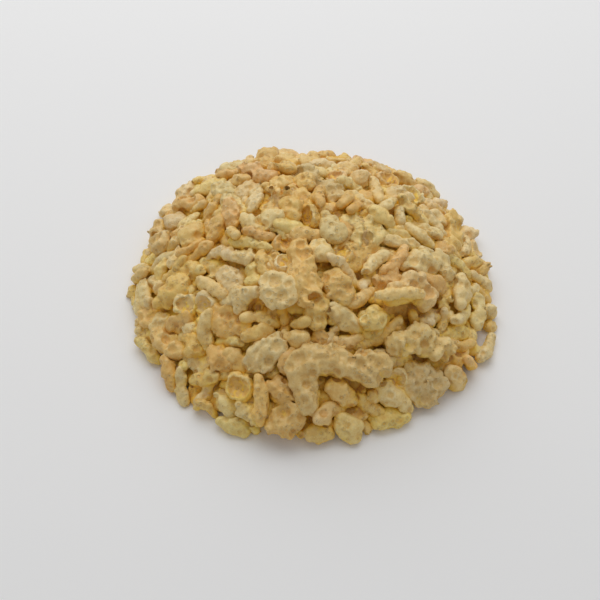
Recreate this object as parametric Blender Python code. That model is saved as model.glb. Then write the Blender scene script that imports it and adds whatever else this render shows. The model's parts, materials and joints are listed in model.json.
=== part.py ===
# A loose heap of crisped rice as it lies on a flat surface, fused into one closed solid.
# Metres, +Z up. The origin is the middle of the flat underside.
# The pieces come to rest one after another by a seeded rule. A core fills the inside, and the
# pieces that show most are fused on it at true size, with few sides.

import math

import bmesh
import bpy
import numpy as np

MM = 0.001

# The heap's form: a low mound whose slope grows towards its foot
FOOT_RADIUS = 45.0 * MM
HEAP_HEIGHT = 22.4 * MM
SLOPE_POWER = 2.1
# Waves round the foot: how many, how far out as a share of the radius, and their phase
FOOT_WAVES = ((1, 0.022, 3.14), (2, 0.014, 2.8), (3, 0.010, 2.1), (5, 0.010, 4.0))

# How the pieces come to rest
SEED = 11
LANDMARK_STREAM = 77  # streams of random numbers that don't meet those of the kinds
SIDES_STREAM = 99
CELL = 0.4 * MM  # one cell of the height map
MAP_HALF = 58.0 * MM
FIRST_DEPTH = 8.5 * MM  # the pieces start this far under the heap's surface
UNDER_DEPTH = 2.6 * MM  # room left for the large pieces on top
GAP_DEPTH = 0.6 * MM
UNDER_TRIES = 750
TOP_TRIES = 1100
GAP_TRIES = 700
PLACES = 24  # a piece goes to the emptiest of this many places
SETTLE_STEPS = 24
ROAM = 0.9 * MM  # sideways moves, and tilts in radians, that a piece tries before it rests
TILT = 0.34
TRIED_TILT = 0.4  # share of the tilt in one try
PLACED_ROAM = 0.4  # shares of both for a piece whose place and turn are given
PLACED_TILT = 0.3
SLOPE_STEP = 0.8 * MM
STEEPEST = 2.0  # slope at which a piece's side stops counting as more area
SIZE_SPREAD = (0.9, 1.12)
GAP_SPREAD = (0.74, 1.0)  # for the last pieces, which fill the gaps
REFUSED_STEP = 0.7 * MM
FOOT_STEP = 0.8  # pieces round the foot lie this share of their width apart
FOOT_OUT = (-0.7 * MM, 0.9 * MM)  # and reach this far over it
EDGE_MARGIN = 1.5 * MM  # middles of the others stay this far inside the foot
OVERHANG = 1.2 * MM  # and no end goes further over it than this
SINK = 0.6 * MM  # how far a piece beds in between its neighbours
GAP_SINK = 1.3 * MM
LEDGE = 0.75  # how far a middle may stand over the surface, in half thicknesses

# Kinds of piece: share of the heap, shapes of each kind, and size ranges in millimetres
KINDS = {
    "kernel": {"share": 0.30, "shapes": 14, "long": (7.6, 11.0), "wide": (2.7, 3.7), "thick": (2.2, 2.8)},
    "plump": {"share": 0.28, "shapes": 14, "long": (6.2, 9.2), "wide": (3.8, 5.2), "thick": (2.5, 3.3)},
    "flake": {"share": 0.18, "shapes": 10, "long": (8.0, 11.4), "wide": (5.6, 8.0), "thick": (1.9, 2.4)},
    "cup": {"share": 0.05, "shapes": 7, "long": (5.2, 7.2), "wide": (4.6, 6.2), "thick": (3.1, 3.9)},
    "cluster": {"share": 0.16, "shapes": 12, "long": (5.6, 8.2), "wide": (3.8, 5.2), "thick": (2.5, 3.3)},
    "crumb": {"share": 0.03, "shapes": 6, "long": (2.6, 4.4), "wide": (1.9, 3.0), "thick": (1.5, 2.4)},
}
CLUSTER_LOBES = (2, 4)
CLUSTER_STEP = 1.15  # from lobe to lobe, in half lengths
KERNEL_BEND = 0.13  # sideways bow, as a share of the length
KERNEL_LOBE = 0.6  # each of a kernel's two lobes, as a share of its length
KERNEL_APART = 0.42

# The fused solid
FUSED_PIECES = 300
FINE_PIECES = 130  # this many of them, the ones that show most, have a ring of sides more
UNEVEN = 0.07  # how far the corners of a piece are off its round form, as a share
CUP_UNEVEN = 0.02  # less for cups, so that no corner of the rim falls inside it
SWELL = 1.05  # few-sided pieces are grown a little, to keep the volume of round ones
CORE_UNDER = 2.0 * MM  # the core lies this far under the gaps between the pieces
CORE_EDGE = 0.8 * MM
ROOT = 0.7 * MM  # the root under a piece reaches this far into the core
ROOT_WIDTH = 0.75  # its width as a share of the piece's
ROOT_LEAST = 0.1 * MM
CORE_BLUR = 3  # cells to each side
CORE_RINGS = 9
CORE_SIDES = 40
CORE_RIM = 2.8 * MM  # the core ends this far inside the foot
MOST_TRIANGLES = 11600
FIRST_SHORT = 0.1 * MM  # edges shorter than this are closed first, then longer ones
LAST_SHORT = 1.6 * MM
LEAST_FACING = 0.4  # cosine of the most that closing an edge may turn a face
SHORT_STEP = 0.1 * MM
TINY_AREA = 1e-10  # square metres, twice a face's area
FLAT = 0.01 * MM
FLOOR_GAP = (0.1 * MM, 0.3 * MM)  # undersides stay this far over the flat base

# Profiles of the few-sided pieces: (along the axis, out from it), in half sizes
BLOB_PROFILE = ((-1.0, 0.0), (-0.6, 0.8), (0.0, 1.0), (0.6, 0.8), (1.0, 0.0))
KERNEL_PROFILE = ((-1.0, 0.0), (-0.68, 0.82), (0.0, 0.92), (0.68, 0.82), (1.0, 0.0))
SMALL_PROFILE = ((-1.0, 0.0), (-0.4, 0.9), (0.4, 0.9), (1.0, 0.0))
FLAKE_PROFILE = ((-1.0, 0.0), (-0.4, 0.93), (0.4, 0.93), (1.0, 0.0))
CUP_PROFILE = ((-1.0, 0.0), (-0.45, 0.86), (0.75, 1.0), (0.75, 0.7), (0.05, 0.0))
CUP_RIM = 2  # the ring of the profile where the hollow starts
# Each kind's profile, number of sides, and the axis that it turns about
FORMS = {
    "kernel": (KERNEL_PROFILE, 5, 0),
    "plump": (BLOB_PROFILE, 5, 0),
    "cluster": (BLOB_PROFILE, 5, 0),
    "flake": (FLAKE_PROFILE, 7, 2),
    "cup": (CUP_PROFILE, 7, 2),
}

STRAW = (0.62, 0.42, 0.16, 1.0)
ROUGHNESS = 0.62
SHARP_ANGLE = math.radians(50.0)


def turned(yaw, pitch, roll):
    """The matrix that rolls about X, then pitches about Y, then turns about Z."""
    cy, sy = math.cos(yaw), math.sin(yaw)
    cp, sp = math.cos(pitch), math.sin(pitch)
    cr, sr = math.cos(roll), math.sin(roll)
    about_z = np.array([[cy, -sy, 0.0], [sy, cy, 0.0], [0.0, 0.0, 1.0]])
    about_y = np.array([[cp, 0.0, sp], [0.0, 1.0, 0.0], [-sp, 0.0, cp]])
    about_x = np.array([[1.0, 0.0, 0.0], [0.0, cr, -sr], [0.0, sr, cr]])
    return about_z @ about_y @ about_x


def foot_at(angle):
    wave = sum(share * np.sin(lobes * angle + phase) for lobes, share, phase in FOOT_WAVES)
    return FOOT_RADIUS * (1.0 + wave)


def heap_top(x, y):
    """Height of the smooth mound that the pieces fill."""
    out = np.hypot(x, y) / foot_at(np.arctan2(y, x))
    return HEAP_HEIGHT * np.clip(1.0 - out**SLOPE_POWER, 0.0, None)


# ---- the pieces: each one is a few ellipsoid lobes, as (middle, half sizes, turn)


def half_sizes(kind, rng):
    ranges = KINDS[kind]
    return np.array([0.5 * MM * rng.uniform(*ranges[name]) for name in ("long", "wide", "thick")])


def kernel_lobes(half, rng):
    """A slender grain: two long lobes in line, bowed a little to one side."""
    bow = rng.uniform(-KERNEL_BEND, KERNEL_BEND) * half[0]
    lobes = []
    for end in (-1, 1):
        fat = rng.uniform(0.92, 1.06)
        middle = np.array([end * KERNEL_APART * half[0], bow, 0.0])
        turn = turned(-end * 3.0 * bow / half[0], 0.0, 0.0)
        lobes.append((middle, half * (KERNEL_LOBE, fat, fat), turn))
    return lobes


def plump_lobes(half, rng):
    """A plump grain with a shoulder on one side."""
    side = rng.uniform(0.0, 2.0 * math.pi)
    middle = half * (0.4 * math.cos(side), 0.35 * math.sin(side), 0.1)
    shoulder = (middle, half * (0.62, 0.7, 0.85), turned(side, 0.0, 0.0))
    return [(np.zeros(3), half, np.eye(3)), shoulder]


def single_lobe(half, rng):
    return [(np.zeros(3), half, np.eye(3))]


def cluster_lobes(half, rng):
    """A few plump lobes grown together along a wandering line."""
    way = rng.uniform(0.0, 2.0 * math.pi)
    middle = np.zeros(3)
    lobes = []
    for _ in range(int(rng.integers(CLUSTER_LOBES[0], CLUSTER_LOBES[1] + 1))):
        turn = turned(way + rng.normal(0.0, 0.6), rng.normal(0.0, 0.2), 0.0)
        lobes.append((middle, half, turn))
        way += rng.normal(0.0, 0.8)
        step = CLUSTER_STEP * half[0]
        rise = rng.normal(0.0, 0.3 * MM)
        middle = middle + np.array([math.cos(way) * step, math.sin(way) * step, rise])
        half = half_sizes("cluster", rng)
    centre = np.mean([lobe[0] for lobe in lobes], axis=0)
    return [(lobe[0] - centre, lobe[1], lobe[2]) for lobe in lobes]


SHAPERS = {
    "kernel": kernel_lobes,
    "plump": plump_lobes,
    "flake": single_lobe,
    "cup": single_lobe,
    "cluster": cluster_lobes,
    "crumb": single_lobe,
}

# Large pieces that stand out on the heap, in millimetres and degrees: kind, place to the right
# and to the back of the middle, turn, then length, width and thickness
LANDMARKS = (
    ("flake", -6, -16, -40, 8.6, 7.4, 2.5),
    ("plump", 2, -8.5, -55, 6.0, 4.8, 3.8),
    ("cup", -6.5, -6, 10, 4.8, 4.4, 3.4),
    ("cup", -9.5, -10, 0, 4.6, 4.4, 3.2),
    ("plump", -13.5, -11.5, -75, 6.4, 4.0, 3.4),
    ("kernel", -11, -12, -75, 8.0, 2.9, 2.6),
    ("kernel", -15, -6, -20, 10.2, 3.0, 2.7),
    ("kernel", -19.5, -7, -25, 9.3, 3.1, 2.8),
    ("plump", -22, -11, -45, 7.2, 5.0, 3.8),
    ("plump", -25.5, -5.5, -15, 6.2, 4.2, 3.6),
    ("flake", -20.5, -22, -25, 9.3, 7.0, 2.8),
    ("plump", -19, -18.5, -10, 10.8, 4.4, 2.9),
    ("flake", 11.5, -9, 40, 10.6, 6.6, 2.6),
    ("flake", 12, 0, -60, 10.4, 8.2, 2.6),
    ("kernel", 16.5, -10, 50, 8.8, 2.9, 2.6),
    ("flake", 19, -12.5, 10, 11.0, 5.6, 2.6),
    ("kernel", 21, -0.5, 10, 9.2, 3.2, 2.8),
    ("kernel", 16, 13, -35, 9.0, 3.3, 2.7),
    ("kernel", 20.5, 18.5, 0, 8.0, 3.0, 2.6),
    ("kernel", 18, -15.5, 10, 11.0, 2.8, 2.6),
    ("kernel", 13, -18, 35, 8.2, 2.9, 2.6),
    ("plump", 13.5, -21, 25, 6.4, 3.8, 3.2),
    ("kernel", 13.5, -25, 30, 12.2, 3.2, 2.8),
    ("plump", 6.5, -18.5, -65, 8.4, 5.8, 3.8),
    ("plump", 2, -22.5, -90, 8.6, 4.8, 3.8),
    ("plump", 18.5, -30, 0, 7.4, 3.9, 3.2),
    ("flake", 26, -33, -30, 12.0, 8.4, 2.8),
    ("plump", 20, -36.5, -25, 9.0, 4.8, 3.8),
    ("kernel", 15, -38.5, -25, 7.6, 3.0, 2.7),
    ("cup", -18, -36, 0, 6.4, 6.0, 3.9),
    ("kernel", -13.5, -39, -90, 11.0, 3.6, 3.0),
    ("flake", -10, -43, 40, 8.8, 6.4, 2.8),
    ("plump", -3, -43.5, 5, 5.6, 4.2, 3.3),
    ("plump", -19.5, -27.5, -45, 6.8, 5.0, 3.8),
    ("plump", -25, -25, -50, 6.8, 3.8, 3.2),
    ("plump", -6, -36, -45, 6.4, 4.8, 3.6),
)

# The largest clusters: place to the right and back, then each lobe's place from there, its turn
# and its length, width and thickness
CLUSTER_LANDMARKS = (
    (-2, -14, ((0, 3.5, -75, 8.0, 4.4, 3.6), (0.5, -2.5, -80, 11.5, 6.2, 4.2))),
    (23, -17.5, ((-2.2, -1.0, 35, 7.8, 4.8, 3.6), (1.4, 1.6, -20, 6.4, 4.6, 3.6),
                 (2.8, -0.6, 40, 6.2, 4.4, 3.4))),
    (24.5, -24, ((-4.2, -1.2, 15, 7.4, 5.0, 3.8), (-0.4, 0.9, -35, 6.8, 5.4, 4.0),
                 (4.2, 0.2, 25, 7.6, 4.4, 3.4))),
    (5, -34, ((-4.5, 1.2, 20, 9.6, 6.2, 4.0), (1.2, 1.4, -15, 9.2, 5.8, 4.0),
              (7.4, 0.6, 10, 8.8, 6.8, 4.0), (-5, -4.0, -75, 10.8, 5.4, 3.6))),
    (-7, -29, ((-1.5, -0.5, 35, 7.2, 6.0, 4.0), (2.2, 1.0, -30, 5.2, 4.6, 3.4))),
)


# ---- the heap: pieces come to rest on a map of heights


class Heap:
    def __init__(self):
        count = int(2 * MAP_HALF / CELL)
        self.ticks = (np.arange(count) + 0.5) * CELL - MAP_HALF
        grid_x, grid_y = np.meshgrid(self.ticks, self.ticks, indexing="ij")
        self.goal = heap_top(grid_x, grid_y)
        self.height = np.clip(self.goal - FIRST_DEPTH, 0.0, None)
        self.owner = np.full(self.height.shape, -1)
        self.refused = np.zeros(self.height.shape)  # lowers a place's turn once a piece didn't fit there
        self.pieces = []
        self.rng = np.random.default_rng(SEED)

    def cells(self, x, y, reach):
        low_x, low_y = (max(0, int((at - reach + MAP_HALF) / CELL)) for at in (x, y))
        high_x, high_y = (int((at + reach + MAP_HALF) / CELL) + 2 for at in (x, y))
        return slice(low_x, high_x), slice(low_y, high_y)

    def faces_of(self, lobes, turn, x, y, cells):
        """Heights of the underside and the top of a piece over its cells, from its middle."""
        off_x = (self.ticks[cells[0]] - x)[:, None]
        off_y = (self.ticks[cells[1]] - y)[None, :]
        under = np.full((off_x.shape[0], off_y.shape[1]), np.inf)
        top = -under
        for middle, half, own_turn in lobes:
            axes = turn @ own_turn
            form = (axes / half**2) @ axes.T
            at = turn @ middle
            dx, dy = off_x - at[0], off_y - at[1]
            b = form[0, 2] * dx + form[1, 2] * dy
            c = form[0, 0] * dx * dx + 2 * form[0, 1] * dx * dy + form[1, 1] * dy * dy - 1.0
            inside = b * b - form[2, 2] * c
            root = np.sqrt(np.maximum(inside, 0.0))
            hit = inside > 0.0
            under = np.where(hit, np.minimum(under, at[2] - (b + root) / form[2, 2]), under)
            top = np.where(hit, np.maximum(top, at[2] - (b - root) / form[2, 2]), top)
        return under, top

    def settle(self, lobes, x, y, yaw=None, lean=1.0):
        """Tries small moves and tilts, and keeps the lowest rest over the mound's surface."""
        reach = max(np.linalg.norm(middle) + half.max() for middle, half, _ in lobes)
        step = SLOPE_STEP
        slope_x = lean * (heap_top(x + step, y) - heap_top(x - step, y)) / (2 * step)
        slope_y = lean * (heap_top(x, y + step) - heap_top(x, y - step)) / (2 * step)
        tilt = TILT if yaw is None else PLACED_TILT * TILT
        free_turn = TILT if yaw is None else 0.0
        roam = ROAM if yaw is None else PLACED_ROAM * ROAM
        if yaw is None:
            yaw = self.rng.uniform(0.0, 2.0 * math.pi)
        along = slope_x * math.cos(yaw) + slope_y * math.sin(yaw)
        across = slope_y * math.cos(yaw) - slope_x * math.sin(yaw)
        pitch = self.rng.normal(0.0, tilt) - math.atan(along)
        roll = self.rng.normal(0.0, tilt) + math.atan(across)
        kept = np.array([x, y, yaw, pitch, roll])
        spread = np.array([roam, roam, free_turn, TRIED_TILT * tilt, TRIED_TILT * tilt])
        best = None
        for _ in range(SETTLE_STEPS):
            tried = kept if best is None else kept + self.rng.normal(0.0, 1.0, 5) * spread
            turn = turned(*tried[2:])
            cells = self.cells(tried[0], tried[1], reach)
            under, top = self.faces_of(lobes, turn, tried[0], tried[1], cells)
            rest = np.max(self.height[cells] - under)
            over = rest - heap_top(tried[0], tried[1])
            if best is None or over < best["over"]:
                best = {"over": over, "rest": rest, "at": tried[:2], "turn": turn}
                best.update(cells=cells, top=top)
                kept = tried
        return best

    def put(self, kind, lobes, found, sink=SINK):
        middle = np.array([found["at"][0], found["at"][1], found["rest"] - sink])
        lowest = min(
            (found["turn"] @ centre)[2] - np.linalg.norm((found["turn"] @ own)[2] * half)
            for centre, half, own in lobes
        )
        middle[2] = max(middle[2], -lowest)
        top = found["top"] + middle[2]
        heights = self.height[found["cells"]]
        raised = top > heights
        heights[raised] = top[raised]
        self.owner[found["cells"]][raised] = len(self.pieces)
        self.pieces.append({"kind": kind, "lobes": lobes, "at": middle, "turn": found["turn"]})

    def fill(self, depth, tries, sizes, sink, shapes):
        """Drops pieces on the emptiest places, and keeps those that stay under the surface."""
        names = list(KINDS)
        shares = np.array([KINDS[name]["share"] for name in names])
        shares /= shares.sum()
        for _ in range(tries):
            kind = names[int(self.rng.choice(len(names), p=shares))]
            shape = int(self.rng.integers(len(shapes[kind])))
            lobes = scaled(shapes[kind][shape], self.rng.uniform(*sizes))
            angle = self.rng.uniform(0.0, 2.0 * math.pi, PLACES)
            out = np.sqrt(self.rng.random(PLACES)) * (foot_at(angle) - EDGE_MARGIN)
            xs, ys = out * np.cos(angle), out * np.sin(angle)
            place = int(np.argmax([self.room_at(x, y) for x, y in zip(xs, ys)]))
            found = self.settle(lobes, xs[place], ys[place])
            half_thick = max(half[2] for _, half, _ in lobes)
            fits = found["over"] - sink + depth <= LEDGE * half_thick
            if fits and self.overhang(found) <= OVERHANG:
                self.put(kind, lobes, found, sink)
            else:
                self.refused[self.near(xs[place], ys[place])] += REFUSED_STEP

    def lay_foot(self, shapes):
        """A ring of pieces that lie flat round the foot."""
        names = list(KINDS)
        shares = np.array([KINDS[name]["share"] for name in names])
        shares /= shares.sum()
        angle = 0.0
        while angle < 2.0 * math.pi:
            kind = names[int(self.rng.choice(len(names), p=shares))]
            shape = int(self.rng.integers(len(shapes[kind])))
            lobes = scaled(shapes[kind][shape], self.rng.uniform(*SIZE_SPREAD))
            yaw = self.rng.uniform(0.0, 2.0 * math.pi)
            out = np.array([math.cos(angle), math.sin(angle), 0.0])
            aside = np.array([-out[1], out[0], 0.0])
            turn = turned(yaw, 0.0, 0.0)
            width = reach_along(lobes, turn, aside) + reach_along(lobes, turn, -aside)
            inward = reach_along(lobes, turn, out) - self.rng.uniform(*FOOT_OUT)
            spot = (float(foot_at(angle)) - inward) * out
            self.put(kind, lobes, self.settle(lobes, spot[0], spot[1], yaw, 0.0))
            angle += FOOT_STEP * width / FOOT_RADIUS

    def overhang(self, found):
        """How far the piece reaches out over the foot of the heap."""
        x = self.ticks[found["cells"][0]][:, None]
        y = self.ticks[found["cells"][1]][None, :]
        out = np.hypot(x, y) - foot_at(np.arctan2(y, x))
        return out[np.isfinite(found["top"])].max()

    def lay_landmarks(self):
        for number, (kind, right, back, turn, *sizes) in enumerate(LANDMARKS):
            rng = np.random.default_rng([SEED, LANDMARK_STREAM, number])
            lobes = SHAPERS[kind](0.5 * MM * np.array(sizes), rng)
            self.put(kind, lobes, self.settle(lobes, right * MM, back * MM, math.radians(turn)))
        for right, back, parts in CLUSTER_LANDMARKS:
            lobes = []
            for x, y, turn, *sizes in parts:
                own_turn = turned(math.radians(turn), 0.0, 0.0)
                lobes.append((MM * np.array([x, y, 0.0]), 0.5 * MM * np.array(sizes), own_turn))
            self.put("cluster", lobes, self.settle(lobes, right * MM, back * MM, 0.0))

    def near(self, x, y):
        col, row = int((x + MAP_HALF) / CELL), int((y + MAP_HALF) / CELL)
        return slice(col - 3, col + 4), slice(row - 3, row + 4)

    def room_at(self, x, y):
        near = self.near(x, y)
        return float((self.goal[near] - self.height[near] - self.refused[near]).mean())

    def shown(self):
        """How much of each piece shows, with slopes counted at their true area."""
        rise_x, rise_y = np.gradient(self.height, CELL)
        area = CELL * CELL * np.sqrt(1.0 + np.minimum(rise_x**2 + rise_y**2, STEEPEST**2))
        seen = self.owner >= 0
        return np.bincount(self.owner[seen], weights=area[seen], minlength=len(self.pieces))


def reach_along(lobes, turn, way):
    """How far the piece reaches from its middle in one direction."""
    reaches = [
        way @ turn @ centre + np.linalg.norm(way @ turn @ own * half) for centre, half, own in lobes
    ]
    return max(reaches)


def scaled(lobes, size):
    return [(middle * size, half * size, turn) for middle, half, turn in lobes]


def make_shapes():
    shapes = {}
    for number, (kind, values) in enumerate(KINDS.items()):
        seeded = [np.random.default_rng([SEED, number, shape]) for shape in range(values["shapes"])]
        shapes[kind] = [SHAPERS[kind](half_sizes(kind, rng), rng) for rng in seeded]
    return shapes


def pile_up():
    shapes = make_shapes()
    heap = Heap()
    heap.lay_foot(shapes)
    heap.fill(UNDER_DEPTH, UNDER_TRIES, SIZE_SPREAD, SINK, shapes)
    heap.lay_landmarks()
    heap.fill(0.0, TOP_TRIES, SIZE_SPREAD, SINK, shapes)
    heap.refused[:] = 0.0
    heap.fill(GAP_DEPTH, GAP_TRIES, GAP_SPREAD, GAP_SINK, shapes)
    return heap


# ---- few-sided meshes


def turned_rings(form, half, uneven, rng):
    """Corners of a shape turned about an axis, ring by ring, with its sides a little uneven."""
    profile, sides, axis = form
    rings = []
    for along, out in profile:
        ring = []
        for side in range(sides if out > 0.0 else 1):
            angle = 2.0 * math.pi * (side + 0.5 * (len(rings) % 2)) / sides
            width = out * rng.uniform(1.0 - uneven, 1.0 + uneven)
            corner = np.roll([along, width * math.cos(angle), width * math.sin(angle)], axis)
            ring.append(corner * half * SWELL)
        rings.append(ring)
    return rings


def join_rings(mesh, lower, upper):
    sides = max(len(lower), len(upper))
    for side in range(sides):
        a, b = lower[side % len(lower)], lower[(side + 1) % len(lower)]
        c, d = upper[side % len(upper)], upper[(side + 1) % len(upper)]
        if a is not b:
            mesh.faces.new((a, b, c))
        if c is not d:
            mesh.faces.new((b, d, c))


def few_sided_lobes(piece):
    """The lobes that are drawn: a kernel's two as one bowed shape, a plump grain's first."""
    lobes = piece["lobes"]
    if piece["kind"] == "kernel":
        (first, first_half, _), (last, last_half, _) = lobes
        half = np.maximum(first_half, last_half)
        half[0] = 0.5 * (last[0] - first[0]) + first_half[0]
        return [(np.zeros(3), half, np.eye(3), first[1])]
    if piece["kind"] == "plump":
        lobes = lobes[:1]
    return [(*lobe, 0.0) for lobe in lobes]


def piece_objects(piece, number, fine, inside):
    """A piece's lobes as few-sided objects, where they lie in the heap and rooted in the core."""
    rng = np.random.default_rng([SEED, SIDES_STREAM, number])
    floor = rng.uniform(*FLOOR_GAP)
    form = FORMS[piece["kind"]]
    is_cup = piece["kind"] == "cup"
    if form[0] is BLOB_PROFILE and not fine:
        form = (SMALL_PROFILE, *form[1:])
    objects = []
    for middle, half, turn, bow in few_sided_lobes(piece):
        centre = piece["turn"] @ middle + piece["at"]
        axes = piece["turn"] @ turn
        rings = [
            [axes @ bowed(corner, half[0], bow) + centre for corner in ring]
            for ring in turned_rings(form, half, CUP_UNEVEN if is_cup else UNEVEN, rng)
        ]
        outer = rings[:CUP_RIM + 1] if is_cup else rings
        mesh, rim = rooted_hull(outer, centre, floor, inside)
        if is_cup:
            hollow_out(mesh, rim, rings[CUP_RIM + 1:], floor)
        objects.append(mesh_object(mesh, f"piece_{number}_{len(objects)}"))
    return objects


def bowed(corner, half_length, bow):
    return corner + np.array([0.0, bow * (1.0 - 2.0 * (corner[0] / half_length) ** 2), 0.0])


def rooted_hull(rings, centre, floor, inside):
    """The rounded body around the corners and their roots, and the corners of the last ring."""
    mesh = bmesh.new()
    for ring in rings:
        last = []
        for x, y, z in ring:
            last.append(mesh.verts.new((x, y, max(z, floor))))
            inner = ROOT_WIDTH * (x - centre[0]) + centre[0], ROOT_WIDTH * (y - centre[1]) + centre[1]
            depth = max(core_height(inside, *inner) - ROOT, floor)
            if z < centre[2] and depth < z - ROOT_LEAST:
                mesh.verts.new((*inner, depth))
    made = bmesh.ops.convex_hull(mesh, input=mesh.verts, use_existing_faces=False)
    loose = made["geom_interior"] + made["geom_unused"]
    unused = {spot for spot in loose if isinstance(spot, bmesh.types.BMVert)}
    bmesh.ops.delete(mesh, geom=list(unused), context="VERTS")
    return mesh, last


def hollow_out(mesh, rim, rings, floor):
    """Opens the flat top inside the rim, where it is whole, and lines it with the hollow."""
    top = [face for face in mesh.faces if all(corner in rim for corner in face.verts)]
    if len(top) != len(rim) - 2:
        return
    bmesh.ops.delete(mesh, geom=top, context="FACES")
    lining = [[mesh.verts.new((x, y, max(z, floor))) for x, y, z in ring] for ring in rings]
    for outer, inner in zip([rim, *lining], lining):
        join_rings(mesh, outer, inner)


def mesh_object(mesh, name):
    bmesh.ops.recalc_face_normals(mesh, faces=mesh.faces)
    data = bpy.data.meshes.new(name)
    mesh.to_mesh(data)
    mesh.free()
    return bpy.data.objects.new(name, data)


def blurred(values, reach):
    for axis in (0, 1):
        shifted = [np.roll(values, shift, axis) for shift in range(-reach, reach + 1)]
        values = np.mean(shifted, axis=0)
    return values


def lowest_near(values, reach):
    for axis in (0, 1):
        shifted = [np.roll(values, shift, axis) for shift in range(-reach, reach + 1)]
        values = np.min(shifted, axis=0)
    return values


def core_height(inside, x, y):
    """Height of the core's surface, which ends in a low edge at its rim."""
    return max(height_at(inside, x, y) - CORE_UNDER, CORE_EDGE)


def core_object(inside):
    """The inside of the heap: a mound on a flat base, under the gaps between the pieces."""
    mesh = bmesh.new()
    peak = mesh.verts.new((0.0, 0.0, core_height(inside, 0.0, 0.0)))
    rings = [[peak]]
    for step in range(1, CORE_RINGS + 1):
        ring = []
        for side in range(CORE_SIDES):
            angle = 2.0 * math.pi * side / CORE_SIDES
            out = (step / CORE_RINGS) * (foot_at(angle) - CORE_RIM)
            x, y = out * math.cos(angle), out * math.sin(angle)
            ring.append(mesh.verts.new((x, y, core_height(inside, x, y))))
        rings.append(ring)
    rings.append([mesh.verts.new((spot.co.x, spot.co.y, 0.0)) for spot in rings[-1]])
    for inner, outer in zip(rings, rings[1:]):
        join_rings(mesh, inner, outer)
    mesh.faces.new(reversed(rings[-1]))
    bmesh.ops.triangulate(mesh, faces=[face for face in mesh.faces if len(face.verts) > 4])
    return mesh_object(mesh, "crisped_rice_heap")


def height_at(values, x, y):
    return float(values[int((x + MAP_HALF) / CELL), int((y + MAP_HALF) / CELL)])


def keep_outer_shell(data):
    """Drops loose scraps and the walls of sealed hollows, so that one closed body is left."""
    mesh = bmesh.new()
    mesh.from_mesh(data)
    unseen = set(mesh.faces)
    shells = []
    while unseen:
        shell, waiting = set(), [unseen.pop()]
        while waiting:
            face = waiting.pop()
            shell.add(face)
            for edge in face.edges:
                for other in edge.link_faces:
                    if other in unseen:
                        unseen.discard(other)
                        waiting.append(other)
        shells.append(shell)
    shells.sort(key=len)
    for shell in shells[:-1]:
        bmesh.ops.delete(mesh, geom=list(shell), context="FACES")
    mesh.to_mesh(data)
    mesh.free()
    return len(shells) - 1


def rice_material():
    material = bpy.data.materials.new("crisped_rice")
    material.use_nodes = True
    shader = material.node_tree.nodes["Principled BSDF"]
    shader.inputs["Base Color"].default_value = STRAW
    shader.inputs["Roughness"].default_value = ROUGHNESS
    shader.inputs["Metallic"].default_value = 0.0
    return material


def fuse(core, pieces):
    """Joins the pieces to the core by one union on their collection, and applies it."""
    group = bpy.data.collections.new("pieces")
    for piece in pieces:
        group.objects.link(piece)
    union = core.modifiers.new("fuse", "BOOLEAN")
    union.operation = "UNION"
    union.operand_type = "COLLECTION"
    union.collection = group
    union.solver = "EXACT"
    graph = bpy.context.evaluated_depsgraph_get()
    fused = bpy.data.meshes.new_from_object(core.evaluated_get(graph))
    core.modifiers.remove(union)
    core.data = fused
    for piece in pieces:
        bpy.data.objects.remove(piece)
    bpy.data.collections.remove(group)


def thin_out(data):
    """Closes up the short edges that the union leaves along its seams, shortest first."""
    mesh = bmesh.new()
    mesh.from_mesh(data)
    bmesh.ops.triangulate(mesh, faces=mesh.faces)
    limit = FIRST_SHORT
    while len(mesh.faces) > MOST_TRIANGLES and limit < LAST_SHORT:
        if not close_short_edges(mesh, limit):
            limit += SHORT_STEP
    mesh.to_mesh(data)
    mesh.free()


def close_short_edges(mesh, limit):
    """Closes edges under the limit that lie well apart from each other, and counts them."""
    short = [(edge.calc_length(), number, edge) for number, edge in enumerate(mesh.edges)]
    short = sorted(item for item in short if item[0] < limit)
    touched = set()
    merged = {}
    for _, _, edge in short:
        kept, lost = edge.verts
        ring = {spot for end in (kept, lost) for near in end.link_edges for spot in near.verts}
        if ring & touched or not can_close(edge):
            continue
        touched |= ring
        kept.co = meeting_point(kept, lost)
        merged[lost] = kept
        if len(mesh.faces) - 2 * len(merged) <= MOST_TRIANGLES:
            break
    bmesh.ops.weld_verts(mesh, targetmap=merged)
    return len(merged)


def meeting_point(kept, lost):
    """The middle of the edge, or its end on the flat base where only one end is there."""
    if (kept.co.z < FLAT) != (lost.co.z < FLAT):
        return kept.co.copy() if kept.co.z < FLAT else lost.co.copy()
    return 0.5 * (kept.co + lost.co)


def can_close(edge):
    """True where closing the edge keeps the surface whole and turns no face over."""
    kept, lost = edge.verts
    beside_kept = {near.other_vert(kept) for near in kept.link_edges}
    beside_lost = {near.other_vert(lost) for near in lost.link_edges}
    if len(beside_kept & beside_lost) != 2:
        return False
    spot = meeting_point(kept, lost)
    for end in (kept, lost):
        for face in end.link_faces:
            if edge in face.edges:
                continue
            corners = [spot if vert is end else vert.co for vert in face.verts]
            turned_to = (corners[1] - corners[0]).cross(corners[2] - corners[0])
            if turned_to.length < TINY_AREA or turned_to.normalized().dot(face.normal) < LEAST_FACING:
                return False
    return True


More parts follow.
